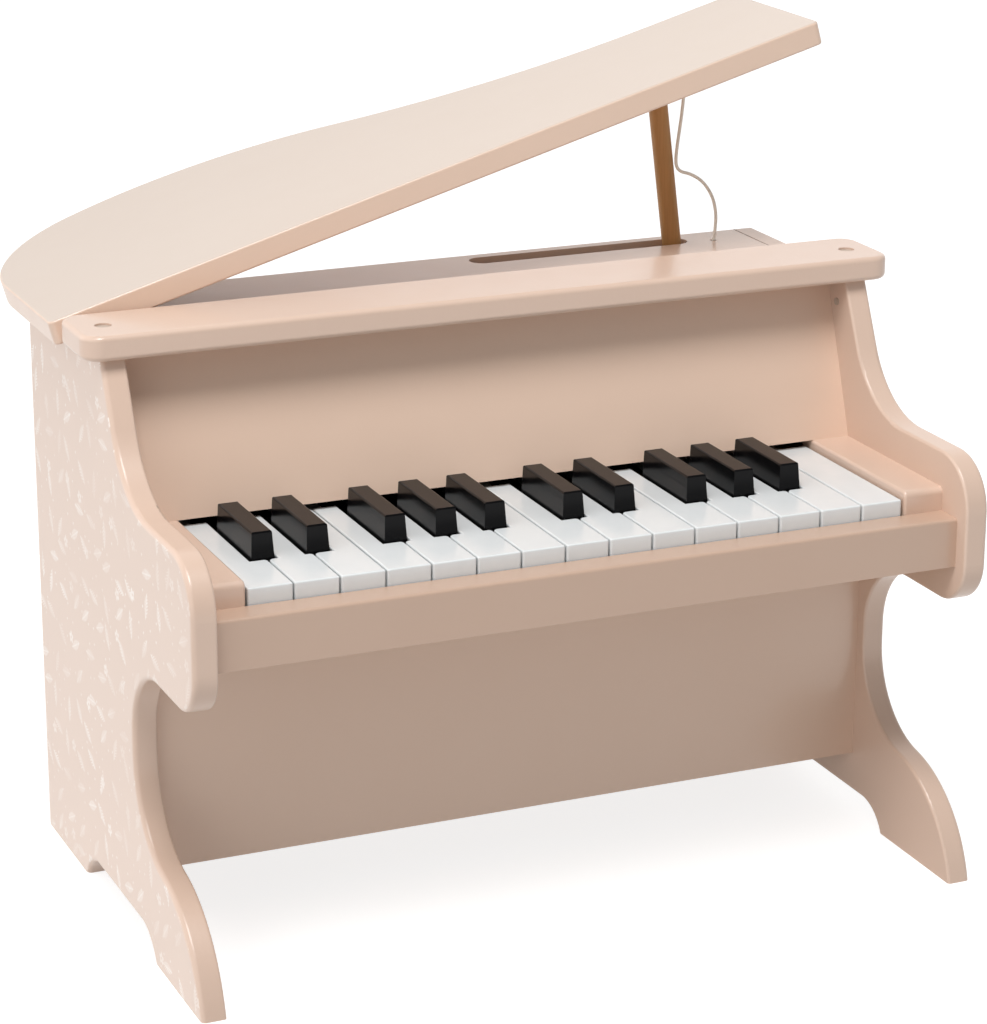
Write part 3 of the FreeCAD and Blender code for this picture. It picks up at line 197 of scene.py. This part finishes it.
def within(tree, limit, value, softness):
    """One where the value is under the limit, fading to nothing over the softness round it."""
    room = add(tree, "Math", {0: limit, 1: value}, operation="SUBTRACT")
    shifted = add(tree, "Math", {0: room, 1: 1 / softness, 2: 0.5}, operation="MULTIPLY_ADD")
    return add(tree, "Clamp", {"Value": shifted})


def fern(tree, flat):
    """A stem 14 mm long with slanted leaflets, whose reach falls with the square of the way to both ends.

    A sine of the slanted way along the stem parts the leaflets. Lengths are shares of a cell.
    """
    along, across, _ = motif(tree, flat, FERN_CELL)
    half_length = 0.36
    leaflet_reach = 0.13
    leaflet_slant = 0.9
    leaflet_rate = 66.0
    leaflet_fade = 0.045
    wave_fade = 1.0
    stem_half_width = 0.018
    stem_fade = 0.03
    side = add(tree, "Math", {0: across}, operation="ABSOLUTE")
    way = add(tree, "Math", {0: along, 1: half_length}, operation="DIVIDE")
    square = add(tree, "Math", {0: way, 1: way}, operation="MULTIPLY")
    reach = add(tree, "Math", {0: square, 1: -leaflet_reach, 2: leaflet_reach}, operation="MULTIPLY_ADD")
    slant = add(tree, "Math", {0: side, 1: leaflet_slant, 2: along}, operation="MULTIPLY_ADD")
    phase = add(tree, "Math", {0: slant, 1: leaflet_rate}, operation="MULTIPLY")
    wave = add(tree, "Math", {0: phase}, operation="SINE")
    leaflets = add(tree, "Math", {
        0: within(tree, reach, side, leaflet_fade),
        1: within(tree, wave, 0.0, wave_fade),
    }, operation="MULTIPLY")
    length = add(tree, "Math", {0: along}, operation="ABSOLUTE")
    stem = add(tree, "Math", {
        0: within(tree, half_length, length, leaflet_fade),
        1: within(tree, stem_half_width, side, stem_fade),
    }, operation="MULTIPLY")
    return add(tree, "Math", {0: leaflets, 1: stem}, operation="MAXIMUM")


def blossom(tree, flat):
    """A flower 6 mm across in most cells: five lobes of a cosine round a ring with an open middle.

    Lengths are shares of a cell.
    """
    along, across, chance = motif(tree, flat, BLOSSOM_CELL)
    ring_radius = 0.06
    petal_reach = 0.06
    eye_radius = 0.028
    fade = 0.03
    half_petals = 2.5
    empty_share = 0.35
    spot = add(tree, "CombineXYZ", {"X": along, "Y": across})
    radius = add(tree, "VectorMath", {0: spot}, "Value", operation="LENGTH")
    turn = add(tree, "Math", {0: across, 1: along}, operation="ARCTAN2")
    lobe_turn = add(tree, "Math", {0: turn, 1: half_petals}, operation="MULTIPLY")
    lobe = add(tree, "Math", {0: lobe_turn}, operation="COSINE")
    lobes = add(tree, "Math", {0: lobe}, operation="ABSOLUTE")
    petals = add(tree, "Math", {0: lobes, 1: petal_reach, 2: ring_radius}, operation="MULTIPLY_ADD")
    ring = add(tree, "Math", {
        0: within(tree, petals, radius, fade),
        1: within(tree, radius, eye_radius, fade),
    }, operation="MULTIPLY")
    kept = add(tree, "Math", {0: chance[1], 1: empty_share}, operation="GREATER_THAN")
    return add(tree, "Math", {0: ring, 1: kept}, operation="MULTIPLY")


def dot(tree, flat):
    """A dot 1.3 mm across in most cells: one inside its radius. Lengths are shares of a cell."""
    along, across, chance = motif(tree, flat, DOT_CELL)
    dot_radius = 0.07
    fade = 0.06
    empty_share = 0.4
    spot = add(tree, "CombineXYZ", {"X": along, "Y": across})
    radius = add(tree, "VectorMath", {0: spot}, "Value", operation="LENGTH")
    kept = add(tree, "Math", {0: chance[2], 1: empty_share}, operation="GREATER_THAN")
    return add(tree, "Math", {0: within(tree, dot_radius, radius, fade), 1: kept}, operation="MULTIPLY")


printed, tree, where = new_material("printed_blush_lacquer")
place = add(tree, "SeparateXYZ", {"Vector": where}, None)
flat = add(tree, "CombineXYZ", {"X": place[1], "Y": place[2]})
normal = add(tree, "TexCoord", output="Normal")
facing = add(tree, "SeparateXYZ", {"Vector": normal})
hand = add(tree, "Math", {0: place[0]}, operation="SIGN")
outward = add(tree, "Math", {0: facing, 1: hand}, operation="MULTIPLY")
shown = add(tree, "Math", {0: outward, 1: FLAT_FACE}, operation="GREATER_THAN")
dull = add(tree, "Math", {0: outward, 1: -FLAT_FACE}, operation="LESS_THAN")
small = add(tree, "Math", {0: blossom(tree, flat), 1: dot(tree, flat)}, operation="MAXIMUM")
drawn = add(tree, "Math", {0: fern(tree, flat), 1: small}, operation="MAXIMUM")
wear = add(tree, "TexNoise", {"Vector": where, "Scale": 1 / WEAR_SIZE, "Detail": 2.0})
cover = add(tree, "Math", {0: wear, 1: WEAR_SPREAD, 2: WEAR_LEAST}, operation="MULTIPLY_ADD")
patches = add(tree, "TexNoise", {"Vector": where, "Scale": 1 / ROLLER_PATCH, "Detail": 1.0})
pressed = add(tree, "MapRange", {
    "Value": patches,
    "From Min": 0.36,
    "From Max": 0.64,
    "To Min": 0.4,
    "To Max": 1.25,
})
inked = add(tree, "Math", {0: drawn, 1: cover}, operation="MULTIPLY")
ink = add(tree, "Math", {0: inked, 1: pressed}, operation="MULTIPLY")
veiled = add(tree, "Math", {0: ink, 1: PRINT_SHARE, 2: VEIL_SHARE}, operation="MULTIPLY_ADD")
share = add(tree, "Math", {0: veiled, 1: shown}, operation="MULTIPLY")
tone = add(tree, "Mix", {0: share, 6: blush_colour(tree, where), 7: linear(PRINT)}, 2, data_type="RGBA")
roughness = add(tree, "Math", {0: share, 1: PRINT_ROUGHNESS, 2: PANEL_ROUGHNESS}, operation="MULTIPLY_ADD")
specular_range = {0: dull, 1: INNER_SPECULAR - PANEL_SPECULAR, 2: PANEL_SPECULAR}
shader = add(tree, "BsdfPrincipled", {
    "Base Color": tone,
    "Roughness": roughness,
    "Normal": sprayed_ripple(tree, where),
    "Specular IOR Level": add(tree, "Math", specular_range, operation="MULTIPLY_ADD"),
    "Coat Weight": add(tree, "Math", {0: dull, 1: -PANEL_COAT, 2: PANEL_COAT}, operation="MULTIPLY_ADD"),
    "Coat Roughness": 0.2,
})
add(tree, "OutputMaterial", {"Surface": shader}, None)
dress(printed, "left_side_panel", "right_side_panel")


# Seams of the top panel
# Where the top panel meets the side panels the lacquer has opened to a hairline, widest at the back.
# Each line is a thin strip of painted shade for that gap, let in and a twentieth of a millimetre proud.
SEAM_HALF_WIDTHS = np.array([0.00002, 0.00010, 0.00028, 0.00035])
SEAM_DEPTH = 0.0002
SEAM_RISE = 0.00005


def tube_mesh(name, rings):
    """A closed tube through rings, an array of rings by points by XYZ: quads between them, and two caps."""
    count, sides, _ = rings.shape
    row = np.arange(count * sides).reshape(count, sides)
    following = np.roll(row, -1, axis=1)
    quads = np.stack([row[:-1], following[:-1], following[1:], row[1:]], axis=-1).reshape(-1, 4)
    caps = [row[0, ::-1].tolist(), row[-1].tolist()]
    mesh = bpy.data.meshes.new(name)
    mesh.from_pydata(rings.reshape(-1, 3).tolist(), [], quads.tolist() + caps)
    return mesh


def bar_rings(stations, x_low, x_high, z_low, z_high):
    """Rectangular rings across Y, one at each station, from sides that are numbers or change along Y."""
    ones = np.ones(len(stations))
    corners = [(x_low, z_low), (x_low, z_high), (x_high, z_high), (x_high, z_low)]
    return np.stack([np.stack([x * ones, stations, z * ones], axis=-1) for x, z in corners], axis=1)


def new_piece(name, mesh, material):
    """Puts a mesh into the scene as a piece with one material."""
    piece = bpy.data.objects.new(name, mesh)
    bpy.context.scene.collection.objects.link(piece)
    mesh.materials.append(material)
    return piece


shade, tree, where = new_material("painted_gap_shade")
seam_mottle = add(tree, "TexNoise", {"Vector": where, "Scale": 1 / GLOSS_PATCH_SIZE, "Detail": 3.0})
tone = add(tree, "Mix", {0: seam_mottle, 6: linear("#9A8172"), 7: linear("#7E6759")}, 2, data_type="RGBA")
shader = add(tree, "BsdfPrincipled", {"Base Color": tone, "Roughness": 0.8})
add(tree, "OutputMaterial", {"Surface": shader}, None)
top_low, top_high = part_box("top_panel")
shelf_low, shelf_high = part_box("front_shelf")
stations = np.linspace(shelf_high.y, top_high.y, len(SEAM_HALF_WIDTHS))
for side, seam_x in (("left", top_low.x), ("right", top_high.x)):
    rings = bar_rings(
        stations,
        seam_x - SEAM_HALF_WIDTHS,
        seam_x + SEAM_HALF_WIDTHS,
        top_high.z - SEAM_DEPTH,
        top_high.z + SEAM_RISE,
    )
    seam = new_piece(f"{side}_top_seam", tube_mesh(f"{side}_top_seam", rings), shade)
    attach(seam, "case")


# Bare boards inside and behind
# Key bed, back panel, battens and the tail rail are unpainted fibreboard: brown, dull, with short fibres
# that lie along the keyboard, drawn at 1 mm so that they show.
FIBRE_SIZE = 0.0011
FIBRE_STRETCH = (0.35, 1, 1)
FIBRE_HEIGHT = 0.00008
FIBRE_SHARE = 0.7
FLECK_SIZE = 0.011
FLECK_SHARE = 0.3
board, tree, where = new_material("bare_fibreboard")
combed = add(tree, "VectorMath", {0: where, 1: FIBRE_STRETCH}, operation="MULTIPLY")
fibres = add(tree, "TexNoise", {"Vector": combed, "Scale": 1 / FIBRE_SIZE, "Detail": 4.0})
flecks = add(tree, "TexNoise", {"Vector": where, "Scale": 1 / FLECK_SIZE, "Detail": 2.0})
fleck_share = add(tree, "Math", {0: flecks, 1: FLECK_SHARE}, operation="MULTIPLY")
share = add(tree, "Math", {0: fibres, 1: FIBRE_SHARE, 2: fleck_share}, operation="MULTIPLY_ADD")
tone = add(tree, "Mix", {0: share, 6: linear("#C9A67C"), 7: linear("#A47F55")}, 2, data_type="RGBA")
shader = add(tree, "BsdfPrincipled", {
    "Base Color": tone,
    "Roughness": 0.72,
    "Normal": add(tree, "Bump", {"Height": fibres, "Distance": FIBRE_HEIGHT}),
})
add(tree, "OutputMaterial", {"Surface": shader}, None)
dress(board, "key_bed", "back_panel", "back_battens", "tail_rest_rail")


# Key action on the bed
# Grey moulded axle rail, bright drawn steel axle and rods, dark cast tone bar, red felt strips and dull zinc
# screws. Screws and brads that show on the case are painted over with its lacquer, dulled by handling.
METAL_GLOSS_SPREAD = 0.2
METAL_GRAIN_HEIGHT = 0.00003
FLOW_SIZE = 0.0083
FLOW_GLOSS_SPREAD = 0.08
SKIN_SIZE = 0.0017
SKIN_HEIGHT = 0.00001
FUZZ_SIZE = 0.0006
FUZZ_HEIGHT = 0.0003


def metal(name, code, deep_code, roughness, grain_size, stretch=(1, 1, 1)):
    """Worn metal: two tones and a roughness that vary along the drawing or casting grain."""
    material, tree, where = new_material(name)
    drawn_out = add(tree, "VectorMath", {0: where, 1: stretch}, operation="MULTIPLY")
    grain = add(tree, "TexNoise", {"Vector": drawn_out, "Scale": 1 / grain_size, "Detail": 3.0})
    tone = add(tree, "Mix", {0: grain, 6: linear(code), 7: linear(deep_code)}, 2, data_type="RGBA")
    gloss = add(tree, "Math", {0: grain, 1: METAL_GLOSS_SPREAD, 2: roughness}, operation="MULTIPLY_ADD")
    shader = add(tree, "BsdfPrincipled", {
        "Base Color": tone,
        "Roughness": gloss,
        "Normal": add(tree, "Bump", {"Height": grain, "Distance": METAL_GRAIN_HEIGHT}),
        "Metallic": 1.0,
    })
    add(tree, "OutputMaterial", {"Surface": shader}, None)
    return material


def moulded(name, code, deep_code, roughness, specular=0.5):
    """Moulded plastic or a painted head: faint flow marks in the colour and the gloss, and a fine skin."""
    material, tree, where = new_material(name)
    flow = add(tree, "TexNoise", {"Vector": where, "Scale": 1 / FLOW_SIZE, "Detail": 3.0})
    skin = add(tree, "TexNoise", {"Vector": where, "Scale": 1 / SKIN_SIZE, "Detail": 1.0})
    tone = add(tree, "Mix", {0: flow, 6: linear(code), 7: linear(deep_code)}, 2, data_type="RGBA")
    gloss = add(tree, "Math", {0: flow, 1: FLOW_GLOSS_SPREAD, 2: roughness}, operation="MULTIPLY_ADD")
    shader = add(tree, "BsdfPrincipled", {
        "Base Color": tone,
        "Roughness": gloss,
        "Normal": add(tree, "Bump", {"Height": skin, "Distance": SKIN_HEIGHT}),
        "Specular IOR Level": specular,
    })
    add(tree, "OutputMaterial", {"Surface": shader}, None)
    return material


steel = metal("drawn_steel", "#C9CBCD", "#9FA2A5", roughness=0.25, grain_size=0.002, stretch=(0.05, 1, 1))
dress(steel, "key_axle", "tone_rods", "hinge_pins", "prop_pin")
zinc = metal("zinc_plate", "#B9B2A6", "#8E877C", roughness=0.35, grain_size=0.0011)
dress(zinc, "back_panel_screws", "axle_rail_screws", "tone_bar_screws")
dress(moulded("painted_heads", "#C4B2A2", "#B7A394", roughness=0.4), "shelf_screws", "panel_brads")
dress(metal("cast_tone_bar", "#4A4A4B", "#2E2E30", roughness=0.55, grain_size=0.0025), "tone_bar")
dress(moulded("grey_moulding", "#6E7072", "#5E6063", roughness=0.45), "axle_rail")
felt, tree, where = new_material("red_felt")
fuzz = add(tree, "TexNoise", {"Vector": where, "Scale": 1 / FUZZ_SIZE, "Detail": 4.0})
tone = add(tree, "Mix", {0: fuzz, 6: linear("#8E2B2B"), 7: linear("#6A1C1E")}, 2, data_type="RGBA")
shader = add(tree, "BsdfPrincipled", {
    "Base Color": tone,
    "Roughness": 0.95,
    "Normal": add(tree, "Bump", {"Height": fuzz, "Distance": FUZZ_HEIGHT}),
    "Sheen Weight": 0.4,
})
add(tree, "OutputMaterial", {"Surface": shader}, None)
dress(felt, "front_felt", "tail_felt")


# White and black keys
# Injection mouldings with a polished skin: cool white caps with a clear gloss, and black ones whose tops
# pick up the colour of the board behind them.
WHITE_KEYS = sorted(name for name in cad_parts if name.startswith("white_key_"))
BLACK_KEYS = sorted(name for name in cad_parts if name.startswith("black_key_"))
dress(moulded("gloss_white_moulding", "#E7EAEB", "#E0E4E5", roughness=0.14), *WHITE_KEYS)
dress(moulded("gloss_black_moulding", "#08080A", "#0D0C0D", roughness=0.13, specular=0.15), *BLACK_KEYS)


# Spring comb
# A blued steel strip screwed on the axle rail, with one finger to each lever.
# Strip and fingers are 0.6 mm thick; a finger is 5 mm wide and 20 mm long and rises by 3 degrees.
COMB_THICKNESS = 0.0006
COMB_DEPTH = 0.009
FINGER_WIDTH = 0.005
FINGER_LENGTH = 0.020
FINGER_TILT = math.radians(3.0)
FINGER_CUTS = 12
FINGER_ROOT_SHARE = 0.25


def mesh_points(mesh):
    """The places of a mesh's vertices, as rows of XYZ."""
    points = np.empty(3 * len(mesh.vertices))
    mesh.vertices.foreach_get("co", points)
    return points.reshape(-1, 3)


comb_low, comb_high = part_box("key_spring_comb")
rail_low, rail_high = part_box("axle_rail")
blued = metal(
    "blued_spring_steel", "#7C8490", "#5A606B", roughness=0.3, grain_size=0.0014, stretch=(1, 0.1, 1)
)
strip_run = np.array([rail_low.y, rail_low.y + COMB_DEPTH])
strip_rings = bar_rings(strip_run, comb_low.x, comb_high.x, comb_low.z, comb_low.z + COMB_THICKNESS)
strip = new_piece("comb_strip", tube_mesh("comb_strip", strip_rings), blued)
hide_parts("key_spring_comb")
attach(strip, "case")
finger_root = Matrix.Translation((0, rail_low.y + FINGER_ROOT_SHARE * COMB_DEPTH, comb_low.z))
finger_turn = finger_root @ Matrix.Rotation(-FINGER_TILT, 4, "X")
finger_run = np.linspace(-FINGER_LENGTH, 0, FINGER_CUTS + 1)
for name in WHITE_KEYS + BLACK_KEYS:
    points = mesh_points(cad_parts[name].data)
    tail = points[points[:, 1] > rail_high.y, 0]
    centre = (tail.min() + tail.max()) / 2
    rings = bar_rings(finger_run, centre - FINGER_WIDTH / 2, centre + FINGER_WIDTH / 2, 0, COMB_THICKNESS)
    finger_mesh = tube_mesh(f"comb_finger_{name}", rings)
    finger_mesh.transform(finger_turn)
    finger = new_piece(f"comb_finger_{name}", finger_mesh, blued)
    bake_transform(finger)


# Lid hinges
# Two stamped butt hinges of satin brass, let into the left panel and the lid, brushed along their leaves.
# They give the eye a warm, streaked gleam.
brass = metal("satin_brass", "#C9A35A", "#A9823F", roughness=0.3, grain_size=0.00125, stretch=(1, 0.1, 1))
dress(brass, "hinge_body_leaves", "hinge_lid_leaves", "hinge_body_screws", "hinge_lid_screws")


# Lid
# A board of the same make as the case. Its edges and underside have the lighter tone of painted light, and
# its upper face a paler, greyer blush that is a painted reflection of the gloss on it.
PAINTED_SHEEN_BLUSH = ("#D1C1B4", "#CBB9AB")
dress(satin_lacquer("painted_light_and_sheen_lacquer", PAINTED_LIGHT_BLUSH, DEEP_PAINTED_LIGHT_BLUSH, PAINTED_SHEEN_BLUSH), "lid")


# Prop stick
# A bare round dowel of light brown wood on a pin in the top panel's slot. The grain is drawn out along
# the stick: fine pores over broader bands, drawn at 1 mm so that they show.
GRAIN_SIZE = 0.0011
GRAIN_STRETCH = (1, 1, 0.03)
GRAIN_HEIGHT = 0.0001
GRAIN_SHARE = 0.55
BAND_SIZE = 0.00625
BAND_STRETCH = (1, 1, 0.08)
BAND_SHARE = 0.45
dowel, tree, where = new_material("bare_dowel")
pores_along = add(tree, "VectorMath", {0: where, 1: GRAIN_STRETCH}, operation="MULTIPLY")
pores = add(tree, "TexNoise", {"Vector": pores_along, "Scale": 1 / GRAIN_SIZE, "Detail": 4.0})
bands_along = add(tree, "VectorMath", {0: where, 1: BAND_STRETCH}, operation="MULTIPLY")
bands = add(tree, "TexNoise", {"Vector": bands_along, "Scale": 1 / BAND_SIZE, "Detail": 2.0})
band_share = add(tree, "Math", {0: bands, 1: BAND_SHARE}, operation="MULTIPLY")
share = add(tree, "Math", {0: pores, 1: GRAIN_SHARE, 2: band_share}, operation="MULTIPLY_ADD")
tone = add(tree, "Mix", {0: share, 6: linear("#C7955C"), 7: linear("#9A6E3C")}, 2, data_type="RGBA")
shader = add(tree, "BsdfPrincipled", {
    "Base Color": tone,
    "Roughness": 0.55,
    "Normal": add(tree, "Bump", {"Height": pores, "Distance": GRAIN_HEIGHT}),
})
add(tree, "OutputMaterial", {"Surface": shader}, None)
dress(dowel, "prop_stick")


# Lid string
# A limp off-white cotton cord of 1.8 mm, from its seat in the lid to a knot under the top panel.
# The tube is laid along a smooth spline that the route leads, with three twisted strands in its surface.
STRING_ROUTE = [
    (0.14808, 0.07259, 0.38140),
    (0.14951, 0.07259, 0.37640),
    (0.14861, 0.07221, 0.36480),
    (0.14691, 0.07156, 0.34635),
    (0.14392, 0.07091, 0.32789),
    (0.14286, 0.07056, 0.31770),
    (0.14554, 0.07042, 0.31371),
    (0.15171, 0.07036, 0.31222),
    (0.15908, 0.07020, 0.30753),
    (0.16462, 0.06991, 0.29935),
    (0.16677, 0.06959, 0.29017),
    (0.16622, 0.06929, 0.28158),
    (0.16529, 0.06907, 0.27540),
    (0.16511, 0.06883, 0.26852),
    (0.16519, 0.06909, 0.26160),
]
STRING_RADIUS = 0.0009
STRING_CUTS = 12
STRAND_PITCH = 0.0042
STRAND_SWELL = 0.1
STRANDS = 3
RING_POINTS = 18
YARN_SIZE = 0.0004
YARN_HEIGHT = 0.00006


def spline_points(route, resolution):
    """Points read along a NURBS spline of third order that runs from the first to the last route point."""
    curve = bpy.data.curves.new("string_line", "CURVE")
    curve.dimensions = "3D"
    spline = curve.splines.new("NURBS")
    spline.points.add(len(route) - 1)
    for point, place in zip(spline.points, route):
        point.co = (*place, 1.0)
    spline.order_u = 3
    spline.use_endpoint_u = True
    spline.resolution_u = resolution
    guide = bpy.data.objects.new("string_line", curve)
    line = bpy.data.meshes.new_from_object(guide)
    points = mesh_points(line)
    bpy.data.objects.remove(guide)
    bpy.data.meshes.remove(line)
    return points


def strand_rings(line, run, radius, pitch, strands):
    """Rings square to a line, whose radius swells over each strand, the strands turning once in a pitch."""
    tangent = np.gradient(line, axis=0)
    tangent /= np.linalg.norm(tangent, axis=1)[:, None]
    side = np.cross(tangent, (0.0, 1.0, 0.0))
    side /= np.linalg.norm(side, axis=1)[:, None]
    rise = np.cross(tangent, side)
    turn = np.linspace(0, math.tau, RING_POINTS, endpoint=False)
    lay = turn[None, :] - math.tau * run[:, None] / pitch
    reach = radius * (1 - STRAND_SWELL + STRAND_SWELL * np.abs(np.cos(strands / 2 * lay)))
    ring = np.cos(turn)[None, :, None] * side[:, None] + np.sin(turn)[None, :, None] * rise[:, None]
    return line[:, None] + reach[..., None] * ring


cotton, tree, where = new_material("cotton_cord")
yarn = add(tree, "TexNoise", {"Vector": where, "Scale": 1 / YARN_SIZE, "Detail": 3.0})
tone = add(tree, "Mix", {0: yarn, 6: linear("#FBF8F0"), 7: linear("#F0EBDF")}, 2, data_type="RGBA")
shader = add(tree, "BsdfPrincipled", {
    "Base Color": tone,
    "Roughness": 0.85,
    "Normal": add(tree, "Bump", {"Height": yarn, "Distance": YARN_HEIGHT}),
    "Sheen Weight": 0.8,
})
add(tree, "OutputMaterial", {"Surface": shader}, None)
string_line = spline_points(STRING_ROUTE, STRING_CUTS)
string_run = np.append(0.0, np.cumsum(np.linalg.norm(np.diff(string_line, axis=0), axis=1)))
string_rings = strand_rings(string_line, string_run, STRING_RADIUS, STRAND_PITCH, STRANDS)
string_mesh = tube_mesh("lid_cord", string_rings)
string_mesh.shade_smooth()
string = new_piece("lid_cord", string_mesh, cotton)
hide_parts("lid_string")
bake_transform(string)


# Floor and light
# A plain sheet of pale paper that glows a little of itself and reads as white to the eye and in gloss.
# Soft light comes from bright walls on the left, behind and on the right, and from a lamp above the front.
FLOOR_REACH = 6.0
PAPER_CLOUD = 0.33
PAPER_GLOW = 0.24
PAPER_WHITE = 0.56
LAMP_SIZE = 0.8
LAMP_POWER = 30.5
LAMP_PLACE = Vector((-0.36, -0.77, 2.01))
LAMP_AIM = Vector((0, 0, 0.2))
WALL_STRENGTHS = {(-1, 0, 0): 1.21, (0, 1, 0): 0.75, (1, 0, 0): 0.57}
WALL_START = 0.1
WALL_FULL = 0.8
paper, tree, where = new_material("pale_paper")
clouds = add(tree, "TexNoise", {"Vector": where, "Scale": 1 / PAPER_CLOUD, "Detail": 2.0})
ray = add(tree, "LightPath", output=None)
gloss = add(tree, "Math", {0: ray["Is Glossy Ray"], 1: ray["Is Transmission Ray"]}, operation="MAXIMUM")
seen = add(tree, "Math", {0: ray["Is Camera Ray"], 1: gloss}, operation="MAXIMUM")
tone = add(tree, "Mix", {0: clouds, 6: linear("#AAAAAA"), 7: linear("#A8A8A8")}, 2, data_type="RGBA")
glow = add(tree, "Math", {0: seen, 1: PAPER_WHITE, 2: PAPER_GLOW}, operation="MULTIPLY_ADD")
shader = add(tree, "BsdfPrincipled", {
    "Base Color": tone,
    "Roughness": 0.95,
    "Emission Color": (1, 1, 1, 1),
    "Emission Strength": glow,
})
add(tree, "OutputMaterial", {"Surface": shader}, None)
floor_corners = FLOOR_REACH * np.array([(-1, -1, 0), (1, -1, 0), (1, 1, 0), (-1, 1, 0)])
floor_mesh = bpy.data.meshes.new("floor")
floor_mesh.from_pydata(floor_corners.tolist(), [], [(0, 1, 2, 3)])
floor = new_piece("floor", floor_mesh, paper)

light = bpy.data.lights.new("front_lamp", "AREA")
light.size = LAMP_SIZE
light.energy = LAMP_POWER
lamp = bpy.data.objects.new("front_lamp", light)
bpy.context.scene.collection.objects.link(lamp)
lamp_turn = (LAMP_AIM - LAMP_PLACE).to_track_quat("-Z", "Y")
lamp.matrix_world = Matrix.Translation(LAMP_PLACE) @ lamp_turn.to_matrix().to_4x4()

world = bpy.data.worlds.new("studio")
bpy.context.scene.world = world
world.use_nodes = True
sky = world.node_tree
sky.nodes.clear()
heading = add(sky, "TexCoord", output="Generated")
brightness = 0.0
for wall, strength in WALL_STRENGTHS.items():
    toward = add(sky, "VectorMath", {0: heading, 1: wall}, "Value", operation="DOT_PRODUCT")
    reach = {"Value": toward, "From Min": WALL_START, "From Max": WALL_FULL, "To Max": strength}
    wall_light = add(sky, "MapRange", reach, interpolation_type="SMOOTHSTEP")
    brightness = add(sky, "Math", {0: wall_light, 1: brightness}, operation="ADD")
backdrop = add(sky, "Background", {"Color": (1, 1, 1, 1), "Strength": brightness})
add(sky, "OutputWorld", {"Surface": backdrop}, None)


# Camera
# Fitted to the keyboard, panels and shelf: 23.4 degrees from the left, 18.1 degrees down, a long lens
# that is turned by a fifth of a degree.
YAW = math.radians(23.37)
PITCH = math.radians(18.07)
ROLL = math.radians(0.2)
CAMERA_PLACE = (-0.60769, -1.43128, 0.67556)
LENS_LENGTH = 116.05
SENSOR_WIDTH = 36.0
ahead = Vector((math.sin(YAW) * math.cos(PITCH), math.cos(YAW) * math.cos(PITCH), -math.sin(PITCH)))
level = Vector((math.cos(YAW), -math.sin(YAW), 0))
above = level.cross(ahead)
right = level * math.cos(ROLL) + above * math.sin(ROLL)
up = above * math.cos(ROLL) - level * math.sin(ROLL)
lens = bpy.data.cameras.new("camera")
lens.sensor_width = SENSOR_WIDTH
lens.lens = LENS_LENGTH
camera = bpy.data.objects.new("camera", lens)
bpy.context.scene.collection.objects.link(camera)
turn = Matrix((right, up, -ahead)).transposed().to_4x4()
camera.matrix_world = Matrix.Translation(CAMERA_PLACE) @ turn
bpy.context.scene.camera = camera
bpy.context.scene.view_settings.view_transform = "Standard"
